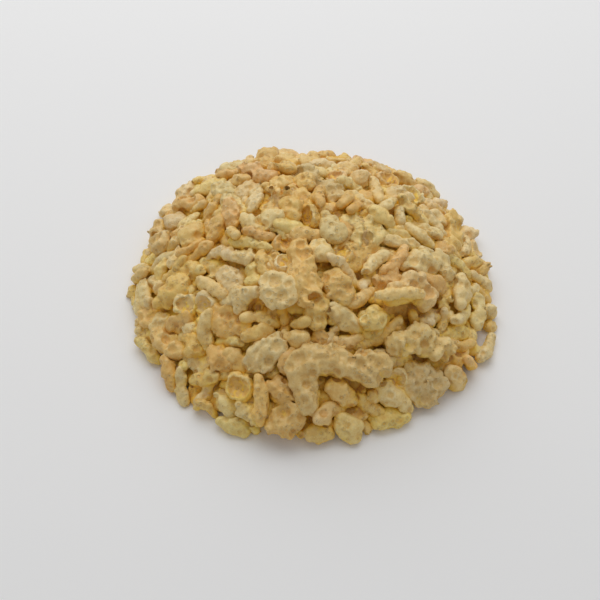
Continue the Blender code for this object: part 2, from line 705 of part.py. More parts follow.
def main():
    for old in list(bpy.data.objects):
        bpy.data.objects.remove(old)
    heap = pile_up()
    shown = heap.shown()
    order = [number for number in np.argsort(-shown) if heap.pieces[number]["kind"] != "crumb"]
    chosen = order[:FUSED_PIECES]
    inside = blurred(lowest_near(heap.height, 1), CORE_BLUR)
    core = core_object(inside)
    bpy.context.scene.collection.objects.link(core)
    pieces = []
    for place, number in enumerate(chosen):
        pieces += piece_objects(heap.pieces[number], number, place < FINE_PIECES, inside)
    fuse(core, pieces)
    dropped = keep_outer_shell(core.data)
    thin_out(core.data)
    core.data.materials.clear()
    core.data.materials.append(rice_material())
    core.data.shade_smooth()
    core.data.set_sharp_from_angle(angle=SHARP_ANGLE)
    print(f"{len(heap.pieces)} pieces, {len(chosen)} of them fused, {dropped} scraps dropped")
    print(f"{len(core.data.polygons)} triangles")


main()
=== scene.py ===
# A loose heap of crisped rice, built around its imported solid. Metres, +Z up.
# Each piece lies where the solid has it: the same seeded rule lays the heap here.
import json
import math

import bpy
import numpy as np
from mathutils import Matrix, Vector

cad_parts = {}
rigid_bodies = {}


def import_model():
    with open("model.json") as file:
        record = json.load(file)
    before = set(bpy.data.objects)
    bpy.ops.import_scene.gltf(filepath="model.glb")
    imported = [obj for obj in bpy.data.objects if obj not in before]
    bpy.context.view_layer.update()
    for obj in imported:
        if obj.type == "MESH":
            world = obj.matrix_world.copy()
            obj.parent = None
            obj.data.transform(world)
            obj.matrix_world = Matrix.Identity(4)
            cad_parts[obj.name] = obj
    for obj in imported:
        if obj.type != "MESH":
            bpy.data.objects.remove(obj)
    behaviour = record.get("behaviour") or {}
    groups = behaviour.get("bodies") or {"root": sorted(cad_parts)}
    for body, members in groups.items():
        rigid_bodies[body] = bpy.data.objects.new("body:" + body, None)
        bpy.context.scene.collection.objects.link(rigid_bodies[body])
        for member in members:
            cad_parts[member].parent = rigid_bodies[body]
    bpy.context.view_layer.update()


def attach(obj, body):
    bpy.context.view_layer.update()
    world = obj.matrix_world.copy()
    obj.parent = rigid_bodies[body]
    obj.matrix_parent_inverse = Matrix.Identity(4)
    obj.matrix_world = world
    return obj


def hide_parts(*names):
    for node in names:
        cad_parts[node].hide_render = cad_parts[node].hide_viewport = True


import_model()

mm = 0.001


def addObject(name, data):
    made = bpy.data.objects.new(name, data)
    bpy.context.scene.collection.objects.link(made)
    return made


def spotsOf(mesh):
    spots = np.empty(len(mesh.vertices) * 3)
    mesh.vertices.foreach_get("co", spots)
    return spots.reshape(-1, 3)


def nodeAdder(tree):
    # adds a node with its inputs, as values or links, and gives its outputs
    def add(kind, inputs=(), **values):
        node = tree.nodes.new(kind)
        for key, value in values.items():
            setattr(node, key, value)
        for socket, value in inputs:
            if isinstance(value, bpy.types.NodeSocket):
                tree.links.new(value, node.inputs[socket])
            else:
                node.inputs[socket].default_value = value
        return node.outputs
    return add


# what a user would change about how the heap lies; these follow the solid's own values
heapRule = {
    "footRadius": 45.0 * mm,
    "heapHeight": 22.4 * mm,
    "slopePower": 2.1,
    "footWaves": ((1, 0.022, 3.14), (2, 0.014, 2.8), (3, 0.010, 2.1), (5, 0.010, 4.0)),
    "seed": 11,
    "landmarkStream": 77,
    "cell": 0.4 * mm,  # one cell of the height map
    "mapHalf": 58.0 * mm,
    "firstDepth": 8.5 * mm,  # the core's depth under the mound, then those of the layers
    "underDepth": 2.6 * mm,
    "gapDepth": 0.6 * mm,
    "underTries": 750,
    "topTries": 1100,
    "gapTries": 700,
    "places": 24,
    "settleSteps": 24,
    "roam": 0.9 * mm,
    "tilt": 0.34,
    "triedTilt": 0.4,
    "placedRoam": 0.4,
    "placedTilt": 0.3,
    "slopeStep": 0.8 * mm,
    "sizeSpread": (0.9, 1.12),
    "gapSpread": (0.74, 1.0),
    "refusedStep": 0.7 * mm,
    "footStep": 0.8,
    "footOut": (-0.7 * mm, 0.9 * mm),
    "edgeMargin": 1.5 * mm,
    "overhang": 1.2 * mm,
    "sink": 0.6 * mm,
    "gapSink": 1.3 * mm,
    "ledge": 0.75,  # how far a piece may stand out, as a share of half its thickness
    "nearCells": 3,  # the room at a place is told over this many cells to each side
    "steepest": 2.0,  # steeper slopes count as this in the area that shows
}

# each kind of piece: share of the heap, number of shapes, and size ranges in millimetres
riceKinds = {
    "kernel": {"share": 0.30, "shapes": 14, "long": (7.6, 11.0), "wide": (2.7, 3.7), "thick": (2.2, 2.8)},
    "plump": {"share": 0.28, "shapes": 14, "long": (6.2, 9.2), "wide": (3.8, 5.2), "thick": (2.5, 3.3)},
    "flake": {"share": 0.18, "shapes": 10, "long": (8.0, 11.4), "wide": (5.6, 8.0), "thick": (1.9, 2.4)},
    "cup": {"share": 0.05, "shapes": 7, "long": (5.2, 7.2), "wide": (4.6, 6.2), "thick": (3.1, 3.9)},
    "cluster": {"share": 0.16, "shapes": 12, "long": (5.6, 8.2), "wide": (3.8, 5.2), "thick": (2.5, 3.3)},
    "crumb": {"share": 0.03, "shapes": 6, "long": (2.6, 4.4), "wide": (1.9, 3.0), "thick": (1.5, 2.4)},
}
lobeRule = {
    "kernelBend": 0.13,
    "kernelLobe": 0.6,
    "kernelApart": 0.42,
    "kernelFat": (0.92, 1.06),
    "kernelTurn": 3.0,
    "shoulderOut": (0.4, 0.35, 0.1),
    "shoulderSize": (0.62, 0.7, 0.85),
    "clusterLobes": (2, 4),
    "clusterStep": 1.15,
    "clusterTurn": (0.6, 0.2),  # spread of a lobe's turn and pitch
    "clusterBend": 0.8,
    "clusterRise": 0.3 * mm,
}

# large pieces that stand out: kind, place to the right and back of the middle, turn in degrees,
# length, width and thickness in millimetres, and tone
largePieces = (
    ("flake", -6, -16, -40, 8.6, 7.4, 2.5, "ivory"),
    ("plump", 2, -8.5, -55, 6.0, 4.8, 3.8, "pale"),
    ("cup", -6.5, -6, 10, 4.8, 4.4, 3.4, "tan"),
    ("cup", -9.5, -10, 0, 4.6, 4.4, 3.2, "ivory"),
    ("plump", -13.5, -11.5, -75, 6.4, 4.0, 3.4, "lemon"),
    ("kernel", -11, -12, -75, 8.0, 2.9, 2.6, "straw"),
    ("kernel", -15, -6, -20, 10.2, 3.0, 2.7, "lemon"),
    ("kernel", -19.5, -7, -25, 9.3, 3.1, 2.8, "ivory"),
    ("plump", -22, -11, -45, 7.2, 5.0, 3.8, "pale"),
    ("plump", -25.5, -5.5, -15, 6.2, 4.2, 3.6, "straw"),
    ("flake", -20.5, -22, -25, 9.3, 7.0, 2.8, "tan"),
    ("plump", -19, -18.5, -10, 10.8, 4.4, 2.9, "ivory"),
    ("flake", 11.5, -9, 40, 10.6, 6.6, 2.6, "straw"),
    ("flake", 12, 0, -60, 10.4, 8.2, 2.6, "lemon"),
    ("kernel", 16.5, -10, 50, 8.8, 2.9, 2.6, "ivory"),
    ("flake", 19, -12.5, 10, 11.0, 5.6, 2.6, "peach"),
    ("kernel", 21, -0.5, 10, 9.2, 3.2, 2.8, "ivory"),
    ("kernel", 16, 13, -35, 9.0, 3.3, 2.7, "ivory"),
    ("kernel", 20.5, 18.5, 0, 8.0, 3.0, 2.6, "lemon"),
    ("kernel", 18, -15.5, 10, 11.0, 2.8, 2.6, "cream"),
    ("kernel", 13, -18, 35, 8.2, 2.9, 2.6, "cream"),
    ("plump", 13.5, -21, 25, 6.4, 3.8, 3.2, "lemon"),
    ("kernel", 13.5, -25, 30, 12.2, 3.2, 2.8, "cream"),
    ("plump", 6.5, -18.5, -65, 8.4, 5.8, 3.8, "straw"),
    ("plump", 2, -22.5, -90, 8.6, 4.8, 3.8, "straw"),
    ("plump", 18.5, -30, 0, 7.4, 3.9, 3.2, "ivory"),
    # this flake's darker husk tone is painted shade
    ("flake", 26, -33, -30, 12.0, 8.4, 2.8, "husk"),
    ("plump", 20, -36.5, -25, 9.0, 4.8, 3.8, "ivory"),
    ("kernel", 15, -38.5, -25, 7.6, 3.0, 2.7, "straw"),
    ("cup", -18, -36, 0, 6.4, 6.0, 3.9, "straw"),
    ("kernel", -13.5, -39, -90, 11.0, 3.6, 3.0, "straw"),
    ("flake", -10, -43, 40, 8.8, 6.4, 2.8, "straw"),
    ("plump", -3, -43.5, 5, 5.6, 4.2, 3.3, "straw"),
    ("plump", -19.5, -27.5, -45, 6.8, 5.0, 3.8, "tan"),
    ("plump", -25, -25, -50, 6.8, 3.8, 3.2, "straw"),
    ("plump", -6, -36, -45, 6.4, 4.8, 3.6, "tan"),
)

# the largest clusters: place, tone, then each lobe's place from there, turn and three sizes
largeClusters = (
    (-2, -14, "peach", ((0, 3.5, -75, 8.0, 4.4, 3.6), (0.5, -2.5, -80, 11.5, 6.2, 4.2))),
    (23, -17.5, "cream", ((-2.2, -1.0, 35, 7.8, 4.8, 3.6), (1.4, 1.6, -20, 6.4, 4.6, 3.6),
                          (2.8, -0.6, 40, 6.2, 4.4, 3.4))),
    (24.5, -24, "lemon", ((-4.2, -1.2, 15, 7.4, 5.0, 3.8), (-0.4, 0.9, -35, 6.8, 5.4, 4.0),
                          (4.2, 0.2, 25, 7.6, 4.4, 3.4))),
    (5, -34, "cream", ((-4.5, 1.2, 20, 9.6, 6.2, 4.0), (1.2, 1.4, -15, 9.2, 5.8, 4.0),
                       (7.4, 0.6, 10, 8.8, 6.8, 4.0), (-5, -4.0, -75, 10.8, 5.4, 3.6))),
    (-7, -29, "pale", ((-1.5, -0.5, 35, 7.2, 6.0, 4.0), (2.2, 1.0, -30, 5.2, 4.6, 3.4))),
)

# a few of the large pieces lie over their neighbours: number in the list, place and turn
piecesOnTop = ((0, -7.4, -18.8, -40), (19, 19.6, -18.8, 12), (21, 13.6, -24.0, 20))
onTopRule = {"sink": 1.0 * mm, "reach": 8.0 * mm, "lean": 0.8, "calm": 0.35}

# burst bubbles of large pieces, by the piece's place: right, back and radius of each in millimetres
largeWindows = {
    (-6, -16): ((-1.5, 0.7, 1.4), (1.6, -0.7, 1.3), (0.9, 1.9, 0.8), (-0.8, -2.0, 0.8)),
    (2, -8.5): ((-1.0, 0.3, 1.0),),
    (12, 0): ((-3.0, 0.5, 0.9), (2.6, -1.2, 1.0), (0.4, 2.2, 0.8)),
    (11.5, -9): ((-2.4, -0.8, 1.0), (2.0, 0.9, 0.9)),
    (2, -22.5): ((-2.7, -0.7, 0.8), (2.4, 0.5, 0.8)),
    (6.5, -18.5): ((-2.0, 0.6, 0.9), (1.8, -0.8, 0.8)),
    (-10, -43): ((1.6, 0.8, 1.1),),
    (20, -36.5): ((-1.8, 0.4, 0.8),),
    (26, -33): ((-2.4, 1.2, 1.3), (2.4, -1.6, 1.5), (1.6, 2.2, 0.9)),
    (-19, -18.5): ((2.6, 0.2, 0.7),),
    (5, -34): ((9.0, 1.9, 1.6), (9.6, -1.5, 1.2), (3.4, 2.0, 0.8), (-5.2, -6.4, 0.9), (-4.8, 2.6, 0.8)),
    (-7, -29): ((2.8, 1.0, 1.2), (-3.2, -1.2, 1.4)),
    (23, -17.5): ((2.8, -0.6, 1.3), (-2.6, -1.0, 1.0), (1.2, 2.2, 0.8)),
    (24.5, -24): ((4.6, 0.4, 0.9), (-4.4, -1.0, 1.1)),
    (-2, -14): ((0.6, -5.6, 0.9),),
}


def turnMatrix(yaw, pitch, roll):
    # rolls about X, then pitches about Y, then turns about Z
    cy, sy = math.cos(yaw), math.sin(yaw)
    cp, sp = math.cos(pitch), math.sin(pitch)
    cr, sr = math.cos(roll), math.sin(roll)
    aboutZ = np.array([[cy, -sy, 0.0], [sy, cy, 0.0], [0.0, 0.0, 1.0]])
    aboutY = np.array([[cp, 0.0, sp], [0.0, 1.0, 0.0], [-sp, 0.0, cp]])
    aboutX = np.array([[1.0, 0.0, 0.0], [0.0, cr, -sr], [0.0, sr, cr]])
    return aboutZ @ aboutY @ aboutX


def footAt(angle):
    wave = sum(share * np.sin(lobes * angle + phase) for lobes, share, phase in heapRule["footWaves"])
    return heapRule["footRadius"] * (1.0 + wave)


def heapTop(x, y):
    # height of the smooth mound that the pieces fill
    out = np.hypot(x, y) / footAt(np.arctan2(y, x))
    return heapRule["heapHeight"] * np.clip(1.0 - out ** heapRule["slopePower"], 0.0, None)


# each piece is a few ellipsoid lobes, as (middle, half sizes, turn)

def halfSizes(kind, rng):
    ranges = riceKinds[kind]
    return np.array([0.5 * mm * rng.uniform(*ranges[name]) for name in ("long", "wide", "thick")])


def kernelLobes(half, rng):
    # a slender grain: two long lobes in line, bowed a little to one side
    bow = rng.uniform(-lobeRule["kernelBend"], lobeRule["kernelBend"]) * half[0]
    lobes = []
    for end in (-1, 1):
        fat = rng.uniform(*lobeRule["kernelFat"])
        middle = np.array([end * lobeRule["kernelApart"] * half[0], bow, 0.0])
        turn = turnMatrix(-end * lobeRule["kernelTurn"] * bow / half[0], 0.0, 0.0)
        lobes.append((middle, half * (lobeRule["kernelLobe"], fat, fat), turn))
    return lobes


def plumpLobes(half, rng):
    # a plump grain with a shoulder on one side
    side = rng.uniform(0.0, 2.0 * math.pi)
    outX, outY, outZ = lobeRule["shoulderOut"]
    middle = half * (outX * math.cos(side), outY * math.sin(side), outZ)
    shoulder = (middle, half * lobeRule["shoulderSize"], turnMatrix(side, 0.0, 0.0))
    return [(np.zeros(3), half, np.eye(3)), shoulder]


def singleLobe(half, rng):
    return [(np.zeros(3), half, np.eye(3))]


def clusterLobes(half, rng):
    # a few plump lobes grown together along a wandering line
    way = rng.uniform(0.0, 2.0 * math.pi)
    middle = np.zeros(3)
    lobes = []
    fewest, most = lobeRule["clusterLobes"]
    yaw, pitch = lobeRule["clusterTurn"]
    for _ in range(int(rng.integers(fewest, most + 1))):
        turn = turnMatrix(way + rng.normal(0.0, yaw), rng.normal(0.0, pitch), 0.0)
        lobes.append((middle, half, turn))
        way += rng.normal(0.0, lobeRule["clusterBend"])
        step = lobeRule["clusterStep"] * half[0]
        rise = rng.normal(0.0, lobeRule["clusterRise"])
        middle = middle + np.array([math.cos(way) * step, math.sin(way) * step, rise])
        half = halfSizes("cluster", rng)
    centre = np.mean([lobe[0] for lobe in lobes], axis=0)
    return [(lobe[0] - centre, lobe[1], lobe[2]) for lobe in lobes]


lobeMakers = {
    "kernel": kernelLobes,
    "plump": plumpLobes,
    "flake": singleLobe,
    "cup": singleLobe,
    "cluster": clusterLobes,
    "crumb": singleLobe,
}


def cellOf(at):
    return int((at + heapRule["mapHalf"]) / heapRule["cell"])


def leanAt(x, y, yaw, lean):
    # pitch and roll of a piece that lies along the mound's slope
    step = heapRule["slopeStep"]
    slopeX = lean * (heapTop(x + step, y) - heapTop(x - step, y)) / (2 * step)
    slopeY = lean * (heapTop(x, y + step) - heapTop(x, y - step)) / (2 * step)
    along = slopeX * math.cos(yaw) + slopeY * math.sin(yaw)
    across = slopeY * math.cos(yaw) - slopeX * math.sin(yaw)
    return -math.atan(along), math.atan(across)


def reachAlong(lobes, turn, way):
    return max(way @ turn @ middle + np.linalg.norm(way @ turn @ own * half) for middle, half, own in lobes)


class RiceHeap:
    # pieces come to rest one after another on a map of heights
    def __init__(self):
        cell, mapHalf = heapRule["cell"], heapRule["mapHalf"]
        self.ticks = (np.arange(int(2 * mapHalf / cell)) + 0.5) * cell - mapHalf
        gridX, gridY = np.meshgrid(self.ticks, self.ticks, indexing="ij")
        self.goal = heapTop(gridX, gridY)
        self.height = np.clip(self.goal - heapRule["firstDepth"], 0.0, None)
        self.owner = np.full(self.height.shape, -1)
        self.refused = np.zeros(self.height.shape)
        self.pieces = []
        self.windows = {}
        self.calmed = set()
        self.kinds = list(riceKinds)
        shares = np.array([values["share"] for values in riceKinds.values()])
        self.shares = shares / shares.sum()
        self.rng = np.random.default_rng(heapRule["seed"])

    def cells(self, x, y, reach):
        return tuple(slice(max(0, cellOf(at - reach)), cellOf(at + reach) + 2) for at in (x, y))

    def facesOf(self, lobes, turn, x, y, cells):
        offX = (self.ticks[cells[0]] - x)[:, None]
        offY = (self.ticks[cells[1]] - y)[None, :]
        under = np.full((offX.shape[0], offY.shape[1]), np.inf)
        top = -under
        for middle, half, ownTurn in lobes:
            axes = turn @ ownTurn
            form = (axes / half**2) @ axes.T
            at = turn @ middle
            dx, dy = offX - at[0], offY - at[1]
            b = form[0, 2] * dx + form[1, 2] * dy
            c = form[0, 0] * dx * dx + 2 * form[0, 1] * dx * dy + form[1, 1] * dy * dy - 1.0
            inside = b * b - form[2, 2] * c
            root = np.sqrt(np.maximum(inside, 0.0))
            hit = inside > 0.0
            under = np.where(hit, np.minimum(under, at[2] - (b + root) / form[2, 2]), under)
            top = np.where(hit, np.maximum(top, at[2] - (b - root) / form[2, 2]), top)
        return under, top

    def restAt(self, lobes, x, y, turn, reach):
        # how a piece turned like this comes to rest there
        cells = self.cells(x, y, reach)
        under, top = self.facesOf(lobes, turn, x, y, cells)
        rest = np.max(self.height[cells] - under)
        return {"at": (x, y), "rest": rest, "turn": turn, "cells": cells, "top": top}

    def settle(self, lobes, x, y, yaw=None, lean=1.0):
        # tries small moves and tilts, and keeps the lowest rest over the mound's surface
        reach = max(np.linalg.norm(middle) + half.max() for middle, half, _ in lobes)
        tilt, roam, freeTurn = heapRule["tilt"], heapRule["roam"], heapRule["tilt"]
        if yaw is None:
            yaw = self.rng.uniform(0.0, 2.0 * math.pi)
        else:
            tilt, roam, freeTurn = heapRule["placedTilt"] * tilt, heapRule["placedRoam"] * roam, 0.0
        pitch, roll = leanAt(x, y, yaw, lean)
        kept = np.array([x, y, yaw, self.rng.normal(0.0, tilt) + pitch, self.rng.normal(0.0, tilt) + roll])
        tried = heapRule["triedTilt"] * tilt
        spread = np.array([roam, roam, freeTurn, tried, tried])
        best = None
        for _ in range(heapRule["settleSteps"]):
            tried = kept if best is None else kept + self.rng.normal(0.0, 1.0, 5) * spread
            found = self.restAt(lobes, tried[0], tried[1], turnMatrix(*tried[2:]), reach)
            found["over"] = found["rest"] - heapTop(tried[0], tried[1])
            if best is None or found["over"] < best["over"]:
                best, kept = found, tried
        return best

    def put(self, kind, lobes, found, shape, sink, size=1.0, tone=None):
        turn, cells = found["turn"], found["cells"]
        middle = np.array([found["at"][0], found["at"][1], found["rest"] - sink])
        lowest = min((turn @ at)[2] - np.linalg.norm((turn @ own)[2] * half) for at, half, own in lobes)
        middle[2] = max(middle[2], -lowest)
        top = found["top"] + middle[2]
        heights = self.height[cells]
        raised = top > heights
        heights[raised] = top[raised]
        self.owner[cells][raised] = len(self.pieces)
        piece = {"kind": kind, "at": middle, "turn": turn, "shape": shape, "size": size}
        self.pieces.append({**piece, "lobes": lobes, "tone": tone})

    def drawPiece(self, shapes, sizes):
        kind = self.kinds[int(self.rng.choice(len(self.kinds), p=self.shares))]
        shape = int(self.rng.integers(len(shapes[kind])))
        size = self.rng.uniform(*sizes)
        lobes = [(middle * size, half * size, own) for middle, half, own in shapes[kind][shape]]
        return kind, shape, size, lobes

    def fill(self, depth, tries, sizes, sink, shapes):
        # drops pieces on the emptiest places, and keeps those that stay under the surface
        for _ in range(tries):
            kind, shape, size, lobes = self.drawPiece(shapes, sizes)
            angle = self.rng.uniform(0.0, 2.0 * math.pi, heapRule["places"])
            out = np.sqrt(self.rng.random(heapRule["places"])) * (footAt(angle) - heapRule["edgeMargin"])
            xs, ys = out * np.cos(angle), out * np.sin(angle)
            place = int(np.argmax([self.roomAt(x, y) for x, y in zip(xs, ys)]))
            found = self.settle(lobes, xs[place], ys[place])
            ledge = heapRule["ledge"] * max(half[2] for _, half, _ in lobes)
            if found["over"] - sink + depth <= ledge and self.overhang(found) <= heapRule["overhang"]:
                self.put(kind, lobes, found, shape, sink, size)
            else:
                self.refused[self.near(xs[place], ys[place])] += heapRule["refusedStep"]

    def layFoot(self, shapes):
        # a ring of pieces that lie flat round the foot
        angle = 0.0
        while angle < 2.0 * math.pi:
            kind, shape, size, lobes = self.drawPiece(shapes, heapRule["sizeSpread"])
            yaw = self.rng.uniform(0.0, 2.0 * math.pi)
            out = np.array([math.cos(angle), math.sin(angle), 0.0])
            aside = np.array([-out[1], out[0], 0.0])
            turn = turnMatrix(yaw, 0.0, 0.0)
            width = reachAlong(lobes, turn, aside) + reachAlong(lobes, turn, -aside)
            inward = reachAlong(lobes, turn, out) - self.rng.uniform(*heapRule["footOut"])
            spot = (float(footAt(angle)) - inward) * out
            found = self.settle(lobes, spot[0], spot[1], yaw, 0.0)
            self.put(kind, lobes, found, shape, heapRule["sink"], size)
            angle += heapRule["footStep"] * width / heapRule["footRadius"]

    def overhang(self, found):
        x = self.ticks[found["cells"][0]][:, None]
        y = self.ticks[found["cells"][1]][None, :]
        out = np.hypot(x, y) - footAt(np.arctan2(y, x))
        return out[np.isfinite(found["top"])].max()

    def layLargePieces(self, shapes):
        for number, (kind, right, back, turn, *sizes, tone) in enumerate(largePieces):
            rng = np.random.default_rng([heapRule["seed"], heapRule["landmarkStream"], number])
            lobes = lobeMakers[kind](0.5 * mm * np.array(sizes), rng)
            self.layLarge(kind, lobes, right, back, turn, tone, shapes[kind])
        for right, back, tone, parts in largeClusters:
            lobes = []
            for x, y, turn, *sizes in parts:
                ownTurn = turnMatrix(math.radians(turn), 0.0, 0.0)
                lobes.append((mm * np.array([x, y, 0.0]), 0.5 * mm * np.array(sizes), ownTurn))
            self.layLarge("cluster", lobes, right, back, 0.0, tone, shapes["cluster"])

    def layLarge(self, kind, lobes, right, back, turn, tone, shapes):
        self.windows[kind, len(shapes)] = largeWindows.get((right, back))
        found = self.settle(lobes, right * mm, back * mm, math.radians(turn))
        self.put(kind, lobes, found, len(shapes), heapRule["sink"], tone=tone)
        shapes.append(lobes)

    def layOnTop(self, number, right, back, turn):
        # lays a large piece once more, over what covers it; a flake keeps a calmer edge there
        kind = largePieces[number][0]
        piece = [piece for piece in self.pieces if piece["tone"]][number]
        if kind == "flake":
            self.calmed.add((kind, piece["shape"]))
        x, y, yaw = right * mm, back * mm, math.radians(turn)
        turned = turnMatrix(yaw, *leanAt(x, y, yaw, onTopRule["lean"]))
        found = self.restAt(piece["lobes"], x, y, turned, onTopRule["reach"])
        self.put(kind, piece["lobes"], found, piece["shape"], onTopRule["sink"], tone=piece["tone"])

    def near(self, x, y):
        wide = heapRule["nearCells"]
        return tuple(slice(cellOf(at) - wide, cellOf(at) + wide + 1) for at in (x, y))

    def roomAt(self, x, y):
        near = self.near(x, y)
        return float((self.goal[near] - self.height[near] - self.refused[near]).mean())

    def shownArea(self):
        # how much of each piece shows from above, with slopes counted at their true area
        cell = heapRule["cell"]
        riseX, riseY = np.gradient(self.height, cell)
        area = cell * cell * np.sqrt(1.0 + np.minimum(riseX**2 + riseY**2, heapRule["steepest"] ** 2))
        seen = self.owner >= 0
        return np.bincount(self.owner[seen], weights=area[seen], minlength=len(self.pieces))


def layHeap():
    shapes = {}
    seed = heapRule["seed"]
    for number, (kind, values) in enumerate(riceKinds.items()):
        seeded = [np.random.default_rng([seed, number, shape]) for shape in range(values["shapes"])]
        shapes[kind] = [lobeMakers[kind](halfSizes(kind, rng), rng) for rng in seeded]
    drawn = {kind: list(made) for kind, made in shapes.items()}
    heap = RiceHeap()
    sizes, sink = heapRule["sizeSpread"], heapRule["sink"]
    heap.layFoot(shapes)
    heap.fill(heapRule["underDepth"], heapRule["underTries"], sizes, sink, shapes)
    heap.layLargePieces(drawn)
    heap.fill(0.0, heapRule["topTries"], sizes, sink, shapes)
    heap.refused[:] = 0.0
    heap.fill(heapRule["gapDepth"], heapRule["gapTries"], heapRule["gapSpread"], heapRule["gapSink"], shapes)
    for values in piecesOnTop:
        heap.layOnTop(*values)
    return heap, drawn


# how each kind of piece has puffed, in millimetres: bubbles swell its skin, craters are bubbles that
# have burst, and open and plain are the triangles of a shape that shows well or hardly
plainPuff = {"taper": 0.0, "slim": 1.0, "pear": 0.0, "waist": 0.0}
puffRule = {
    "kernel": {
        "grid": 0.31, "bubbles": 0.55, "bubble": (0.4, 0.9), "swell": (0.06, 0.20), "dents": 0.06,
        "dent": (0.6, 1.1), "craters": (0, 1), "crater": (0.35, 0.6), "deep": 0.2, "wander": 0.20,
        "crinkle": 0.09, "taper": 0.28, "slim": 0.92, "pear": 0.26, "waist": 0.12, "open": 1650, "plain": 460,
    },
    "plump": {
        "grid": 0.33, "bubbles": 0.55, "bubble": (0.4, 1.0), "swell": (0.08, 0.28), "dents": 0.10,
        "dent": (0.7, 1.4), "craters": (0, 1), "crater": (0.5, 0.9), "deep": 0.15, "wander": 0.25,
        "crinkle": 0.11, "taper": 0.14, "slim": 0.97, "pear": 0.30, "waist": 0.18, "open": 1620, "plain": 440,
    },
    "flake": {
        "grid": 0.36, "bubbles": 0.60, "bubble": (0.45, 1.0), "swell": (0.14, 0.38), "dents": 0.22,
        "dent": (0.9, 1.8), "craters": (0, 2), "crater": (0.7, 1.3), "deep": 0.0, "wander": 0.24,
        "crinkle": 0.15, "pear": 0.20, "open": 3000, "plain": 700,
    },
    "cup": {
        "grid": 0.30, "bubbles": 0.40, "bubble": (0.4, 0.8), "swell": (0.08, 0.28), "dents": 0.15,
        "dent": (0.5, 0.8), "craters": (0, 1), "crater": (0.35, 0.6), "deep": 0.3, "wander": 0.26,
        "crinkle": 0.07, "open": 3000, "plain": 800,
    },
    "cluster": {
        "grid": 0.38, "bubbles": 0.60, "bubble": (0.45, 1.1), "swell": (0.12, 0.38), "dents": 0.12,
        "dent": (0.8, 1.6), "craters": (1, 3), "crater": (0.7, 1.3), "deep": 0.15, "wander": 0.34,
        "crinkle": 0.17, "open": 4600, "plain": 1200,
    },
    "crumb": {
        "grid": 0.30, "bubbles": 0.6, "bubble": (0.35, 0.7), "swell": (0.10, 0.30), "dents": 0.3,
        "dent": (0.35, 0.6), "craters": (0, 1), "crater": (0.3, 0.5), "deep": 0.3, "wander": 0.28,
        "crinkle": 0.10, "taper": 0.1, "pear": 0.25, "open": 420, "plain": 200,
    },
}
puffShape = {
    "seed": 5,
    "lobeBlend": 0.40,
    "bubbleBlend": 0.16,
    "craterBlend": 0.12,
    "dentBlend": 0.22,
    "rimBlend": 0.2,
    "deepOut": (0.25, 0.5),  # middles of the balls that burst bubbles are cut with, over the skin
    "shallowOut": (0.62, 0.82),
    "shallowWide": 1.35,
    "dentOut": (0.80, 0.93),
    "rimThick": 0.13,
    "windowFrom": 4.0,  # a burst bubble's place is walked down to from this height
    "windowSteps": 24,
    "windowPace": 0.8,
    "windowSpan": 0.1,
    "craterUp": (-0.3, 0.6),  # bubbles burst on the sides that face up more than this
    "wanderWaves": 7,
    "wanderLength": (2.4, 5.2),
    "crinkleWaves": 9,
    "crinkleLength": (0.9, 1.7),
    "waveShare": 2.2,
    "outlineWaves": 0.065,  # a flake's uneven edge, as a share of its radius
    "outlineLimits": (0.75, 1.25),
    "scallop": (1.1, 0.045),  # width of one scallop of its edge, and its share of the radius
    "scallopBend": (1.2, 0.8),
    "flakeThin": 0.85,
    "curl": (0.01, 0.045),
    "curlWays": (0.25, 0.75),  # shares of the flakes that curl down and up
    "curlLift": 0.3,
    "waistAt": 0.45,
    "waistWide": 0.24,
    "waistLimits": (0.5, 1.4),
    "ridgeStep": 0.3,  # a bend of the skin is told over this length
    "ridgeSpan": 2.4,
    # the ridges get painted highlight and the folds painted shade by this share
    "ridgeShare": 0.5,
}

# how strong the painted shade is in dents, burst bubbles and cups, and how wide the painted highlight on
# their rims is
pitRule = {
    "dent": 0.35,
    "dentWide": 0.35,
    "crater": (0.30, 1.1),
    "rimWide": 0.30,
    "rimFade": 1.7,
    "rimSoft": 0.17,
    "cup": 0.45,
    "cupBrim": 0.58,
    "cupRim": 0.2,
    "cupWall": (0.05, 0.12),  # where each part of a cup starts and over what it fades
    "cupFloor": (0.6, 0.4),
    "cupRimUp": (0.6, 0.35),
    "cupRimOut": (0.1, 0.08),
}

# a cup: its wall and depth as shares of its half sizes, and the brim that it is cut off at
cupShape = {
    "wall": (0.74, 0.85),
    "deep": (0.7, 1.2),
    "lift": 0.62,
    "blend": 0.18,
    "brim": 0.66,
    "brimWaves": (0.12, 0.08, 0.05),
    "brimBlend": 0.25,
    "swell": 0.25,  # bubbles swell a cup's thin skin by no more than this
    "under": 0.1,  # bubbles and dents keep to the sides that face up less than this
}


